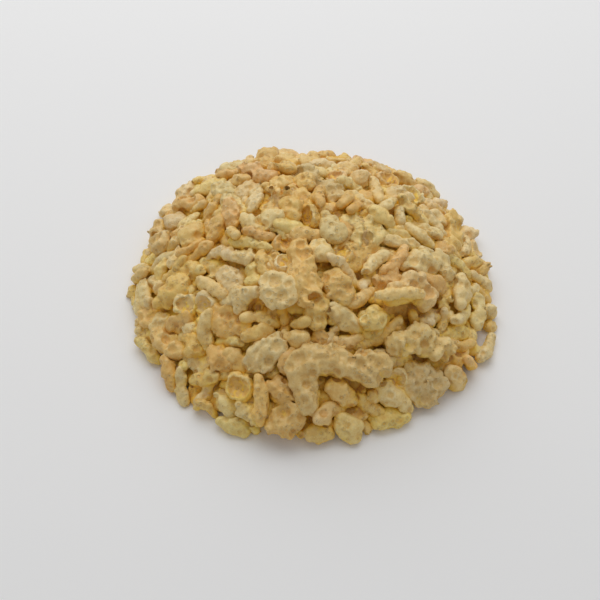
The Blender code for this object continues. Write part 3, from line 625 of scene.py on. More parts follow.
class PuffedShape:
    # the skin of one piece as a field of distances, in millimetres
    def __init__(self, kind, lobes, stream, windows, calm):
        self.kind = kind
        self.rule = {**plainPuff, **puffRule[kind]}
        self.rng = np.random.default_rng([puffShape["seed"], *stream])
        slim = self.rule["slim"]
        self.lobes = [(middle / mm, half / mm * (1.0, slim, slim), turn) for middle, half, turn in lobes]
        self.areas = np.array([half.prod() ** (2 / 3) for _, half, _ in self.lobes])
        self.calm = calm
        self.waves = self.makeWaves()
        self.edge = self.rng.normal(0.0, 1.0, (9, 2)) * calm
        self.long = max(abs(middle[0]) + half[0] for middle, half, _ in self.lobes)
        self.pear = self.rng.uniform(-1.0, 1.0) * self.rule["pear"]
        self.waist = self.rng.uniform(0.0, 1.0) * self.rule["waist"]
        self.waistAt = self.rng.uniform(-1.0, 1.0) * puffShape["waistAt"]
        self.curl = self.rng.uniform(*puffShape["curl"])
        self.curl *= self.rng.choice([-1.0, 1.0], p=puffShape["curlWays"])
        self.wall = self.rng.uniform(*cupShape["wall"])
        self.deep = self.rng.uniform(*cupShape["deep"])
        area = sum(4.0 * math.pi * part for part in self.areas)
        bubbles, dents = int(self.rule["bubbles"] * area), int(self.rule["dents"] * calm * area) + 1
        self.bubbles = self.makeBalls(bubbles, self.rule["bubble"], self.rule["swell"], -1.0)
        self.dents = self.makeBalls(dents, self.rule["dent"], puffShape["dentOut"], 0.0)
        if windows is None:
            self.craters = self.makeCraters()
        else:
            self.craters = [self.windowAt(*window) for window in windows]

    def makeWaves(self):
        waves = []
        for name in ("wander", "crinkle"):
            length, size = puffShape[name + "Length"], self.rule[name]
            for _ in range(puffShape[name + "Waves"]):
                way = self.rng.normal(0.0, 1.0, 3)
                way *= 2.0 * math.pi / self.rng.uniform(*length) / np.linalg.norm(way)
                push = self.rng.normal(0.0, size / puffShape["waveShare"], 3) * self.calm
                waves.append((way, push, self.rng.uniform(0.0, 2.0 * math.pi)))
        return waves

    def wandered(self, points):
        moved = points.copy()
        for way, push, phase in self.waves:
            moved += np.sin(points @ way + phase)[:, None] * push
        along = moved[:, 0] / self.long
        narrow = self.waist * np.exp(-(((along - self.waistAt) / puffShape["waistWide"]) ** 2))
        narrow += self.rule["taper"] * along**2
        moved[:, 1:] /= np.clip(1.0 + self.pear * along - narrow, *puffShape["waistLimits"])[:, None]
        if self.kind == "flake":
            angle = np.arctan2(points[:, 1], points[:, 0])
            wave = sum(
                puffShape["outlineWaves"] / math.sqrt(1.0 + number) *
                (a * np.cos((number + 2) * angle) + b * np.sin((number + 2) * angle))
                for number, (a, b) in enumerate(self.edge[:5])
            )
            (width, share), (first, second) = puffShape["scallop"], puffShape["scallopBend"]
            half = self.lobes[0][1]
            count = round(math.pi * (half[0] + half[1]) / width)
            bend = first * np.sin(2 * angle + self.edge[7, 0]) + second * np.sin(3 * angle + self.edge[7, 1])
            wave += share * (2.0 * np.abs(np.sin(0.5 * (count * angle + bend))) - 1.0)
            moved[:, :2] /= np.clip(1.0 + wave, *puffShape["outlineLimits"])[:, None]
            lift = puffShape["curlLift"] * np.sign(self.curl)
            moved[:, 2] -= self.curl * (points[:, 0] ** 2 + points[:, 1] ** 2) - lift
            moved[:, 2] /= puffShape["flakeThin"]
        return moved

    def body(self, points):
        # the piece without its bubbles and craters
        moved = self.wandered(points)
        total = np.zeros(len(points))
        for middle, half, turn in self.lobes:
            local = (moved - middle) @ turn / half
            far = np.linalg.norm(local, axis=1)
            steep = np.linalg.norm(local / half, axis=1)
            distance = (far - 1.0) * far / np.maximum(steep, 1e-6)
            total += np.exp(-np.clip(distance, -6.0, 6.0) / puffShape["lobeBlend"])
        whole = -puffShape["lobeBlend"] * np.log(total)
        if self.kind == "cup":
            half = self.lobes[0][1]
            inner = half * (self.wall, self.wall, self.deep)
            local = (moved - np.array([0.0, 0.0, cupShape["lift"] * half[2]])) / inner
            far = np.linalg.norm(local, axis=1)
            hollow = (far - 1.0) * far / np.maximum(np.linalg.norm(local / inner, axis=1), 1e-6)
            whole = smoothMost(whole, -hollow, cupShape["blend"])
            angle = np.arctan2(points[:, 1], points[:, 0])
            low, middle, high = cupShape["brimWaves"]
            wave = low * np.cos(2 * angle + self.edge[0, 0]) + middle * np.cos(3 * angle + self.edge[0, 1])
            brim = half[2] * (cupShape["brim"] + wave + high * np.cos(7 * angle))
            whole = smoothMost(whole, points[:, 2] - brim, cupShape["brimBlend"])
        return whole

    def skinSpots(self, count, upward):
        # spots on the skin with their normals, found by walking in along random rays
        spots = []
        while len(spots) < count:
            number = int(self.rng.choice(len(self.lobes), p=self.areas / self.areas.sum()))
            middle, half, turn = self.lobes[number]
            way = self.rng.normal(0.0, 1.0, 3)
            way /= np.linalg.norm(way)
            if upward and way[2] < self.rng.uniform(*puffShape["craterUp"]):
                continue
            if self.kind == "cup" and way[2] > cupShape["under"]:
                continue
            spot = middle + turn @ (half * way)
            normal = turn @ (way / half)
            normal /= np.linalg.norm(normal)
            for _ in range(3):
                spot = spot - normal * self.body(spot[None, :])[0]
            spots.append((spot, normal))
        return spots

    def makeBalls(self, count, sizes, outs, base):
        # balls with their middles out from the skin by base plus a drawn share of the radius
        balls = []
        for spot, normal in self.skinSpots(count, False):
            radius = self.rng.uniform(*sizes)
            balls.append((*(spot + normal * radius * (base + self.rng.uniform(*outs))), radius))
        return np.array(balls)

    def makeCraters(self):
        fewest, most = self.rule["craters"]
        craters = []
        more = max(1.0, len(self.lobes) / 2.0) if self.kind == "cluster" else 1.0
        for spot, normal in self.skinSpots(int(more * self.rng.integers(fewest, most + 1)), True):
            deep = self.rng.random() < self.rule["deep"]
            out = self.rng.uniform(*puffShape["deepOut" if deep else "shallowOut"])
            radius = self.rng.uniform(*self.rule["crater"]) * (1.0 if deep else puffShape["shallowWide"])
            mouth = radius * math.sqrt(1.0 - out**2)
            craters.append((spot + normal * radius * out, spot, normal, radius, mouth, (1.0 - out) * radius))
        return craters

    def windowAt(self, right, back, radius):
        # a shallow burst bubble, found by walking down onto the skin
        spot = np.array([right, back, puffShape["windowFrom"]])
        for _ in range(puffShape["windowSteps"]):
            spot[2] -= puffShape["windowPace"] * self.body(spot[None, :])[0]
        normal = np.array([
            (self.body((spot + way)[None, :]) - self.body((spot - way)[None, :]))[0]
            for way in puffShape["windowSpan"] * np.eye(3)
        ])
        normal /= np.linalg.norm(normal)
        out = 0.5 * sum(puffShape["shallowOut"])
        ball = radius / math.sqrt(1.0 - out**2)
        return (spot + normal * ball * out, spot, normal, ball, radius, (1.0 - out) * ball)

    def field(self, points):
        skin = self.body(points)
        blend = puffShape["bubbleBlend"]
        balls = ballDistances(points, self.bubbles)
        both = np.exp(-np.clip(skin, -4.0, 4.0) / blend)
        both = both + np.exp(-np.clip(balls, -4.0, 4.0) / blend).sum(axis=1)
        swollen = -blend * np.log(both)
        if self.kind == "cup":
            swollen = np.maximum(swollen, skin - cupShape["swell"])
        swollen = smoothMost(swollen, -ballDistances(points, self.dents).min(axis=1), puffShape["dentBlend"])
        for ball, spot, normal, radius, mouth, _ in self.craters:
            fromSpot = points - spot
            along = fromSpot @ normal
            across = np.linalg.norm(fromSpot - along[:, None] * normal, axis=1)
            rim = np.hypot(across - mouth, along) - puffShape["rimThick"]
            swollen = smoothLeast(swollen, rim, puffShape["rimBlend"])
            hole = np.linalg.norm(points - ball, axis=1) - radius
            swollen = smoothMost(swollen, -hole, puffShape["craterBlend"])
        return swollen

    def ridgeAt(self, points):
        # 1 where the skin swells most, -1 where it folds in
        step = puffShape["ridgeStep"]
        bend = -6.0 * self.field(points)
        for way in np.concatenate([np.eye(3), -np.eye(3)]):
            bend += self.field(points + step * way)
        bend /= step**2
        return np.clip((bend - np.median(bend)) / puffShape["ridgeSpan"], -1.0, 1.0)

    def pitAt(self, points):
        # painted shade: 1 in a burst bubble or a cup, and painted highlight: -1 on its rim, 0 on plain skin
        wide = pitRule["dentWide"]
        dent = -ballDistances(points, self.dents).min(axis=1)
        pitShade = pitRule["dent"] * np.clip(1.0 + dent / wide, 0.0, 1.0)
        first, steep = pitRule["crater"]
        for ball, spot, normal, radius, mouth, depth in self.craters:
            along = (points - spot) @ normal
            across = np.linalg.norm(points - spot - along[:, None] * normal, axis=1)
            hole = np.linalg.norm(points - ball, axis=1) - radius
            inner = np.clip((mouth - across) / (wide * mouth), 0.0, 1.0) * (hole < pitRule["rimWide"])
            pitShade = np.maximum(pitShade, inner * min(1.0, first + steep * depth))
            rim = np.hypot(across - mouth, along)
            paler = -np.clip(pitRule["rimFade"] - rim / pitRule["rimSoft"], 0.0, 1.0)
            pitShade = np.where(rim < pitRule["rimWide"], np.minimum(pitShade, paler), pitShade)
        if self.kind == "cup":
            half, height = self.lobes[0][1], points[:, 2]
            out = np.hypot(points[:, 0] / half[0], points[:, 1] / half[1])
            start, over = pitRule["cupWall"]
            inside = np.clip((self.wall + start - out) / over, 0.0, 1.0)
            start, over = pitRule["cupFloor"]
            inside *= np.clip((height + start * half[2]) / (over * half[2]), 0.0, 1.0)
            pitShade = np.maximum(pitShade, pitRule["cup"] * inside)
            brim = half[2] * pitRule["cupBrim"]
            start, over = pitRule["cupRimUp"]
            onRim = np.clip((height - start * brim) / (over * brim), 0.0, 1.0)
            start, over = pitRule["cupRimOut"]
            onRim *= np.clip((out - self.wall + start) / over, 0.0, 1.0)
            pitShade = np.where(onRim > pitRule["cupRim"], -onRim, pitShade)
        return pitShade


def ballDistances(points, balls):
    return np.linalg.norm(points[:, None, :] - balls[None, :, :3], axis=2) - balls[:, 3]


def smoothLeast(a, b, blend):
    mix = np.clip(0.5 + 0.5 * (b - a) / blend, 0.0, 1.0)
    return b + (a - b) * mix - blend * mix * (1.0 - mix)


def smoothMost(a, b, blend):
    return -smoothLeast(-a, -b, blend)


def partOf(ranges):
    # picks part of a grid, by a range for some of its axes
    return tuple(slice(*ranges.get(axis, (None,))) for axis in range(3))


def netAround(values, low, step):
    # quads around the zero level of a grid of values, one corner in each cell that it crosses
    inside = values < 0.0
    wide, deep, high = (size - 1 for size in inside.shape)
    corners = sum(
        inside[i:wide + i, j:deep + j, k:high + k].astype(np.int8)
        for i in (0, 1) for j in (0, 1) for k in (0, 1)
    )
    mixed = (corners > 0) & (corners < 8)
    number = np.full(mixed.shape, -1)
    number[mixed] = np.arange(int(mixed.sum()))
    total = np.zeros((*mixed.shape, 3))
    count = np.zeros(mixed.shape)
    quads = []
    for axis in range(3):
        first, second = (axis + 1) % 3, (axis + 2) % 3
        start, end = values[partOf({axis: (0, -1)})], values[partOf({axis: (1, None)})]
        crossed = (start < 0.0) != (end < 0.0)
        share = np.where(crossed, start / np.where(crossed, start - end, 1.0), 0.0)
        ends = {way: values.shape[way] - 1 for way in (first, second)}
        for i in (0, 1):
            for j in (0, 1):
                here = partOf({first: (i, ends[first] + i), second: (j, ends[second] + j)})
                count += crossed[here]
                total[..., axis] += share[here]
                total[..., first] += i * crossed[here]
                total[..., second] += j * crossed[here]
        at = np.argwhere(crossed[partOf({way: (1, end) for way, end in ends.items()})])
        at[:, (first, second)] += 1
        around = []
        for i, j in ((1, 1), (0, 1), (0, 0), (1, 0)):
            cell = at.copy()
            cell[:, first] -= i
            cell[:, second] -= j
            around.append(number[tuple(cell.T)])
        quad = np.stack(around, axis=1)
        outward = start[tuple(at.T)] < 0.0
        quad[~outward] = quad[~outward][:, ::-1]
        quads.append(quad)
    cells = np.argwhere(mixed)
    points = low + step * (cells + total[mixed] / count[mixed][:, None])
    return points, np.concatenate(quads)


def largestShell(points, quads):
    # drops loose flecks: follows the faces from corner to corner and keeps the largest set
    label = np.arange(len(points))
    while True:
        lowest = label[quads].min(axis=1)
        new = label.copy()
        for corner in range(4):
            np.minimum.at(new, quads[:, corner], lowest)
        if (new == label).all():
            break
        label = new
    names, counts = np.unique(label, return_counts=True)
    kept = label == names[counts.argmax()]
    renumber = np.cumsum(kept) - 1
    return points[kept], renumber[quads[kept[quads[:, 0]]]]


netRule = {"margin": 1.3, "probe": 0.04, "flattest": 0.3, "farthest": 0.3, "moves": 2}


def puffedMesh(name, shape, triangles):
    # the skin as a mesh: a net over the field, drawn onto the skin, then thinned where it is flat
    step = shape.rule["grid"]
    span = []
    for axis in range(3):
        reaches = [(middle[axis], np.linalg.norm(turn[axis] * half)) for middle, half, turn in shape.lobes]
        low = min(at - reach for at, reach in reaches) - netRule["margin"]
        high = max(at + reach for at, reach in reaches) + netRule["margin"]
        span.append(np.arange(low, high + step, step))
    grid = np.stack(np.meshgrid(*span, indexing="ij"), axis=-1).reshape(-1, 3)
    values = shape.field(grid).reshape([len(ticks) for ticks in span])
    low = np.array([ticks[0] for ticks in span])
    points, quads = largestShell(*netAround(values, low, step))
    probe, farthest = netRule["probe"], netRule["farthest"] * step
    for _ in range(netRule["moves"]):
        here = shape.field(points)
        slope = np.stack([(shape.field(points + way * probe) - here) / probe for way in np.eye(3)], axis=1)
        move = here[:, None] * slope / np.maximum((slope**2).sum(axis=1), netRule["flattest"])[:, None]
        points = points - np.clip(move, -farthest, farthest)
    mesh = bpy.data.meshes.new(name)
    mesh.from_pydata((points * mm).tolist(), [], quads.tolist())
    made = addObject(name, mesh)
    thinner = made.modifiers.new("thinner", "DECIMATE")
    thinner.ratio = min(1.0, triangles / (2.0 * len(quads)))
    graph = bpy.context.evaluated_depsgraph_get()
    thinned = bpy.data.meshes.new_from_object(made.evaluated_get(graph))
    bpy.data.objects.remove(made)
    bpy.data.meshes.remove(mesh)
    pitShade = thinned.attributes.new("pitShade", "FLOAT", "POINT")
    spots = spotsOf(thinned) / mm
    # painted highlight on the ridges and painted shade in the folds are added to the pits' painted shade
    shadeAndHighlight = np.clip(shape.pitAt(spots) - puffShape["ridgeShare"] * shape.ridgeAt(spots), -1.0, 1.0)
    pitShade.data.foreach_set("value", shadeAndHighlight.astype(np.float32))
    thinned.shade_smooth()
    thinned.name = name
    return thinned


# tones of the pieces, as colours in linear light, with each one's share of the heap
riceTones = {
    "ivory": ((0.90, 0.71, 0.34), 0.20),
    "pale": ((0.88, 0.68, 0.32), 0.07),
    # a darker tone; on the large flake at the front right it is painted shade
    "husk": ((0.77, 0.58, 0.27), 0.03),
    "lemon": ((0.91, 0.69, 0.25), 0.11),
    "cream": ((0.89, 0.635, 0.25), 0.24),
    "straw": ((0.86, 0.58, 0.185), 0.21),
    "tan": ((0.81, 0.51, 0.15), 0.08),
    "peach": ((0.88, 0.565, 0.22), 0.06),
}
toneRule = {
    "seed": 23,
    "lighter": 0.035,  # spread of each piece's own lightness, blue and green
    "bluer": 0.06,
    "greener": 0.015,
    "limits": (0.02, 0.94),
    "patch": (5.2 * mm, 6.3 * mm),  # warm and pale patches take turns over about three times this
    "phase": (0.6, 1.1),
    "patchShare": 0.8,
    "middle": 0.35,  # how much warmer the middle of the heap is
    "outer": 33.0 * mm,
    "swap": 0.75,
    "least": 0.25,
}
palerTones = {"peach": "cream", "tan": "ivory", "straw": "lemon", "cream": "ivory"}
warmerTones = {"lemon": "cream", "ivory": "straw", "cream": "straw", "straw": "tan"}


def toneOf(name, rng):
    colour = np.array(riceTones[name][0])
    colour = colour * (1.0 + rng.normal(0.0, toneRule["lighter"]))
    colour[2] *= 1.0 + rng.normal(0.0, toneRule["bluer"])
    colour[1] *= 1.0 + rng.normal(0.0, toneRule["greener"])
    return np.clip(colour, *toneRule["limits"])


def toneAt(name, spot, rng):
    # neighbours are alike: the heap has warm and pale patches, and is paler round its sides
    (across, along), (first, second) = toneRule["patch"], toneRule["phase"]
    warmth = toneRule["patchShare"] * math.sin(spot[0] / across + first) * math.sin(spot[1] / along + second)
    warmth += toneRule["middle"] - (math.hypot(spot[0], 0.6 * spot[1]) / toneRule["outer"]) ** 3
    if rng.random() > toneRule["swap"] or abs(warmth) < toneRule["least"]:
        return name
    return (warmerTones if warmth > 0.0 else palerTones).get(name, name)


spreadRule = {"Piece Size": 1.0, "Seed": 3}


def quaternionOf(turn):
    return Matrix(turn.tolist()).to_quaternion()


def spreadTree(name, finish):
    # puts a shape on each point, by its number, turn and size, and makes them one mesh
    tree = bpy.data.node_groups.new(name, "GeometryNodeTree")
    kinds = {"Places": "Geometry", "Shapes": "Collection", "Piece Size": "Float", "Seed": "Int"}
    for socket, kind in kinds.items():
        made = tree.interface.new_socket(socket, in_out="INPUT", socket_type="NodeSocket" + kind)
        if socket in spreadRule:
            made.default_value = spreadRule[socket]
    tree.interface.new_socket("Heap", in_out="OUTPUT", socket_type="NodeSocketGeometry")
    add = nodeAdder(tree)

    def read(name, kind):
        return add("GeometryNodeInputNamedAttribute", [("Name", name)], data_type=kind)["Attribute"]

    start = add("NodeGroupInput")
    shapes = add("GeometryNodeCollectionInfo", [
        ("Separate Children", True), ("Reset Children", True), ("Collection", start["Shapes"]),
    ])
    size = add("ShaderNodeMath", [(0, read("size", "FLOAT")), (1, start["Piece Size"])], operation="MULTIPLY")
    spread = add("GeometryNodeInstanceOnPoints", [
        ("Pick Instance", True), ("Points", start["Places"]), ("Instance", shapes["Instances"]),
        ("Instance Index", read("shape", "INT")), ("Rotation", read("turn", "QUATERNION")),
        ("Scale", size[0]),
    ])
    # each piece's own number, for its grain
    chance = add("FunctionNodeRandomValue", [("Seed", start["Seed"])], data_type="FLOAT")
    store = add("GeometryNodeStoreNamedAttribute", [
        ("Name", "chance"), ("Geometry", spread["Instances"]), ("Value", chance[1]),
    ], data_type="FLOAT", domain="INSTANCE")
    whole = add("GeometryNodeRealizeInstances", [("Geometry", store["Geometry"])])
    skin = add("GeometryNodeSetMaterial", [("Material", finish), ("Geometry", whole["Geometry"])])
    add("NodeGroupOutput", [("Heap", skin["Geometry"])])
    return tree


# the pieces touch, so each is a little larger than the space that it was given
pieceSwell = {"kernel": 1.08, "plump": 1.12, "flake": 1.13, "cup": 1.08, "cluster": 1.13, "crumb": 1.14}
# a piece gets its kind's full detail where more than this of it shows, in square metres, and the
# larger shapes of a kind get more triangles than its smaller ones
detailRule = {"openFrom": 9.0e-6, "power": 0.67, "limits": (0.6, 1.6)}


def volumeOf(lobes):
    return sum(half.prod() for _, half, _ in lobes)


def makeShapes(kind, heap, drawn, pieces, shapes):
    # one mesh for each shape and detail that the kind's pieces use, and its number for each piece
    number = {}
    usual = np.mean([volumeOf(lobes) for lobes in drawn[kind]]) / mm**3
    least, most = detailRule["limits"]
    for piece in pieces:
        shape = piece["shape"]
        detail = "open" if piece["shown"] > detailRule["openFrom"] else "plain"
        if (shape, detail) not in number:
            number[shape, detail] = len(number)
            calm = onTopRule["calm"] if (kind, shape) in heap.calmed else 1.0
            stream = (list(riceKinds).index(kind), shape)
            skin = PuffedShape(kind, drawn[kind][shape], stream, heap.windows.get((kind, shape)), calm)
            share = min(most, max(least, (volumeOf(skin.lobes) / usual) ** detailRule["power"]))
            name = f"{kind}Shape{number[shape, detail]:03d}"
            mesh = puffedMesh(name, skin, int(puffRule[kind][detail] * share))
            shapes.objects.link(bpy.data.objects.new(name, mesh))
        piece["number"] = number[shape, detail]


def spreadKind(kind, heap, drawn, tree):
    # one mesh of all the pieces of a kind, each at its place in the heap
    pieces = [piece for piece in heap.pieces if piece["kind"] == kind]
    shapes = bpy.data.collections.new(kind + "Shapes")
    makeShapes(kind, heap, drawn, pieces, shapes)
    places = bpy.data.meshes.new(kind + "Places")
    places.from_pydata([piece["at"].tolist() for piece in pieces], [], [])
    for name, kindOf, key, values in (
        ("shape", "INT", "value", [piece["number"] for piece in pieces]),
        ("size", "FLOAT", "value", [piece["size"] for piece in pieces]),
        ("turn", "QUATERNION", "value", [part for piece in pieces for part in quaternionOf(piece["turn"])]),
        ("tone", "FLOAT_COLOR", "color", [part for piece in pieces for part in (*piece["colour"], 1.0)]),
    ):
        places.attributes.new(name, kindOf, "POINT")
        places.attributes[name].data.foreach_set(key, values)
    spreader = addObject(kind + "Spreader", places)
    layer = spreader.modifiers.new("spread", "NODES")
    layer.node_group = tree
    sockets = {item.name: item.identifier for item in tree.interface.items_tree if item.in_out == "INPUT"}
    layer[sockets["Shapes"]] = shapes
    layer[sockets["Piece Size"]] = pieceSwell[kind]
    layer[sockets["Seed"]] = spreadRule["Seed"] + list(riceKinds).index(kind)
    graph = bpy.context.evaluated_depsgraph_get()
    mesh = bpy.data.meshes.new_from_object(spreader.evaluated_get(graph))
    spreader.modifiers.remove(layer)
    for used in [spreader, *shapes.objects]:
        bpy.data.objects.remove(used)
    bpy.data.collections.remove(shapes)
    spots = spotsOf(mesh)
    spots[:, 2] = np.maximum(spots[:, 2], 0.0)  # the lowest pieces lie flat on the floor
    mesh.vertices.foreach_set("co", spots.ravel())
    mesh.shade_smooth()
    return addObject("rice_" + kind, mesh)


# how enclosed each spot of skin is, seen from its height among its neighbours; the rice is painted with amber
# shade there
closedRule = {
    "over": 0.7 * mm,
    "ways": 8,
    "reaches": (0.5 * mm, 0.9 * mm, 1.6 * mm, 2.8 * mm),
    "steepest": 1.6,
}


def markCreviceShade(rice, heap, most=1.0):
    mesh = rice.data
    spots = spotsOf(mesh)
    closed = np.zeros(len(spots))

    def heightNear(shiftX, shiftY):
        cells = (spots[:, :2] + (shiftX, shiftY) + heapRule["mapHalf"]) / heapRule["cell"]
        return heap.height[tuple(np.clip(cells.astype(int), 0, len(heap.ticks) - 1).T)]

    # a hollow in a piece's own skin doesn't count
    level = spots[:, 2] + np.clip(heightNear(0.0, 0.0) - spots[:, 2], 0.0, closedRule["over"])
    for angle in 2.0 * math.pi * np.arange(closedRule["ways"]) / closedRule["ways"]:
        steepest = np.zeros(len(spots))
        for reach in closedRule["reaches"]:
            over = heightNear(reach * math.cos(angle), reach * math.sin(angle)) - level
            steepest = np.maximum(steepest, over / reach)
        closed += np.clip(steepest / closedRule["steepest"], 0.0, 1.0) / closedRule["ways"]
    layer = mesh.attributes.new("closed", "FLOAT", "POINT")
    layer.data.foreach_set("value", np.minimum(closed, most).astype(np.float32))


def overNear(values, reach, join):
    # joins each cell's value with those around it
    for axis in (0, 1):
        values = join([np.roll(values, shift, axis) for shift in range(-reach, reach + 1)], axis=0)
    return values


# the hidden inside of the heap, which shows only deep in the gaps; it fills the heap, and its darker tone and
# capped crevice shade are painted shade
coreRule = {
    "seed": 31,
    "under": 0.1 * mm,  # how far the core stays under the pieces
    "underCup": 3.4 * mm,
    "rim": 4.6 * mm,
    "rise": 1.1,
    "edge": 0.4 * mm,
    "rings": 64,
    "sides": 200,
    "relief": 0.5 * mm,
    # a darker tone for the rice deep in the gaps: painted shade
    "tone": (0.66, 0.43, 0.16),
    "closed": 0.4,
}


def makeCore(heap):
    cups = np.array([piece["kind"] == "cup" for piece in heap.pieces] + [False])
    floor = heap.height - coreRule["underCup"] * cups[heap.owner]
    low = np.minimum(overNear(overNear(floor, 2, np.min), 3, np.mean), overNear(floor, 1, np.min))
    grain = overNear(np.random.default_rng(coreRule["seed"]).random(low.shape), 1, np.mean)
    grain = (grain - grain.mean()) / grain.std()

    def heightAt(x, y, inside):
        cell = cellOf(x), cellOf(y)
        lumps = coreRule["relief"] * float(np.clip(grain[cell], -2.0, 2.0))
        height = float(low[cell]) - coreRule["under"] + lumps
        return max(min(height, coreRule["rise"] * inside), coreRule["edge"])

    rings, sides = coreRule["rings"], coreRule["sides"]
    points, faces = [(0.0, 0.0, heightAt(0.0, 0.0, footAt(0.0)))], []
    for ring in range(1, rings + 1):
        for side in range(sides):
            angle = 2.0 * math.pi * side / sides
            reach = float(footAt(angle)) - coreRule["rim"]
            out = ring / rings * reach
            x, y = out * math.cos(angle), out * math.sin(angle)
            points.append((x, y, heightAt(x, y, reach - out)))
    outer = 1 + (rings - 1) * sides
    for side in range(sides):
        x, y, _ = points[outer + side]
        points.append((x, y, 0.0))
    points.append((0.0, 0.0, 0.0))
    for side in range(sides):
        after = (side + 1) % sides
        faces.append((0, 1 + side, 1 + after))
        for ring in range(rings):
            a = 1 + ring * sides
            faces.append((a + side, a + sides + side, a + sides + after, a + after))
        faces.append((len(points) - 1, 1 + rings * sides + after, 1 + rings * sides + side))
    mesh = bpy.data.meshes.new("rice_core")
    mesh.from_pydata(points, [], faces)
    mesh.shade_smooth()
    tone = mesh.attributes.new("tone", "FLOAT_COLOR", "POINT")
    tone.data.foreach_set("color", [*coreRule["tone"], 1.0] * len(points))
    return addObject("rice_core", mesh)


# the finish of the rice: a matte, slightly waxy, frothy skin, with painted shade in its burst bubbles, dents
# and cups, painted highlight on its rims and ridges, and painted amber shade in the gaps between pieces
riceFinish = {
    "mottle": (2.2 * mm, 3.0, 0.55),  # size, detail and roughness
    "grain": (0.42 * mm, 2.0, 0.6),
    "frothPatch": (6.0 * mm, 1.0, 0.5),
    "frothSize": 0.95 * mm,  # the small bubbles of the skin
    "frothSoft": 0.35,
    "frothDeep": 0.16 * mm,
    "bubbleSize": 1.1 * mm,  # larger round ones with pale rims
    "bubbleDeep": 0.12 * mm,
    "speckSize": 2.4 * mm,
    "skinBump": 0.42,
    "skinDeep": 0.12 * mm,
    "apart": (0.31, 0.17, 0.23),  # each piece has its own part of the patterns
    "specular": 0.45,
}
# how each pattern is read: from these two values, to these two
riceRanges = {
    "mottle": (0.35, 0.68, 0.0, 1.0),
    "rimHighlight": (-0.10, -0.9, 0.0, 0.70),
    "pitShade": (0.1, 0.9, 0.0, 0.85),
    "grain": (0.30, 0.70, 0.5, 0.0),
    "froth": (0.36, 0.60, 0.40, 1.0),
    "radius": (0.0, 1.0, 0.10, 0.42),  # of a bubble, as a share of its size
    "bubble": (0.02, -0.06, 0.0, 1.0),
    "bubbleRim": (0.12, 0.03, 0.0, 1.0),
    "bubbleSunk": (0.02, -0.06, 0.0, 1.6),
    "dimple": (0.45, 0.1, 0.0, 0.9),
    "speck": (0.11, 0.05, 0.0, 0.40),
    "outOfPit": (0.1, 0.8, 1.0, 0.12),
    "paintedAmberShade": (0.05, 0.62, 0.0, 1.0),  # painted amber shade, with a painted glow of light through the rice, where the skin is this enclosed
    "roughness": (0.3, 0.7, 0.36, 0.56),
}
riceTints = {
    "mottle": ("MULTIPLY", (0.93, 0.86, 0.74, 1.0)),
    "rimHighlight": ("SCREEN", (0.24, 0.20, 0.13, 1.0)),
    "pitShade": ("MULTIPLY", (0.95, 0.84, 0.64, 1.0)),
    "grain": ("MULTIPLY", (0.84, 0.76, 0.62, 1.0)),
    "bubble": ("MULTIPLY", (0.92, 0.82, 0.62, 1.0)),
    "bubbleRim": ("SCREEN", (0.30, 0.22, 0.12, 1.0)),
    "dimple": ("MULTIPLY", (0.93, 0.85, 0.70, 1.0)),
    "speck": ("MIX", (0.26, 0.15, 0.06, 1.0)),
    # painted shade between pieces: green and blue darkened, then a painted amber glow added
    "paintedShadeBetween": ("MULTIPLY", (1.0, 0.86, 0.36, 1.0)),
    "paintedAmberShade": ("SCREEN", (0.68, 0.23, 0.01, 1.0)),
}


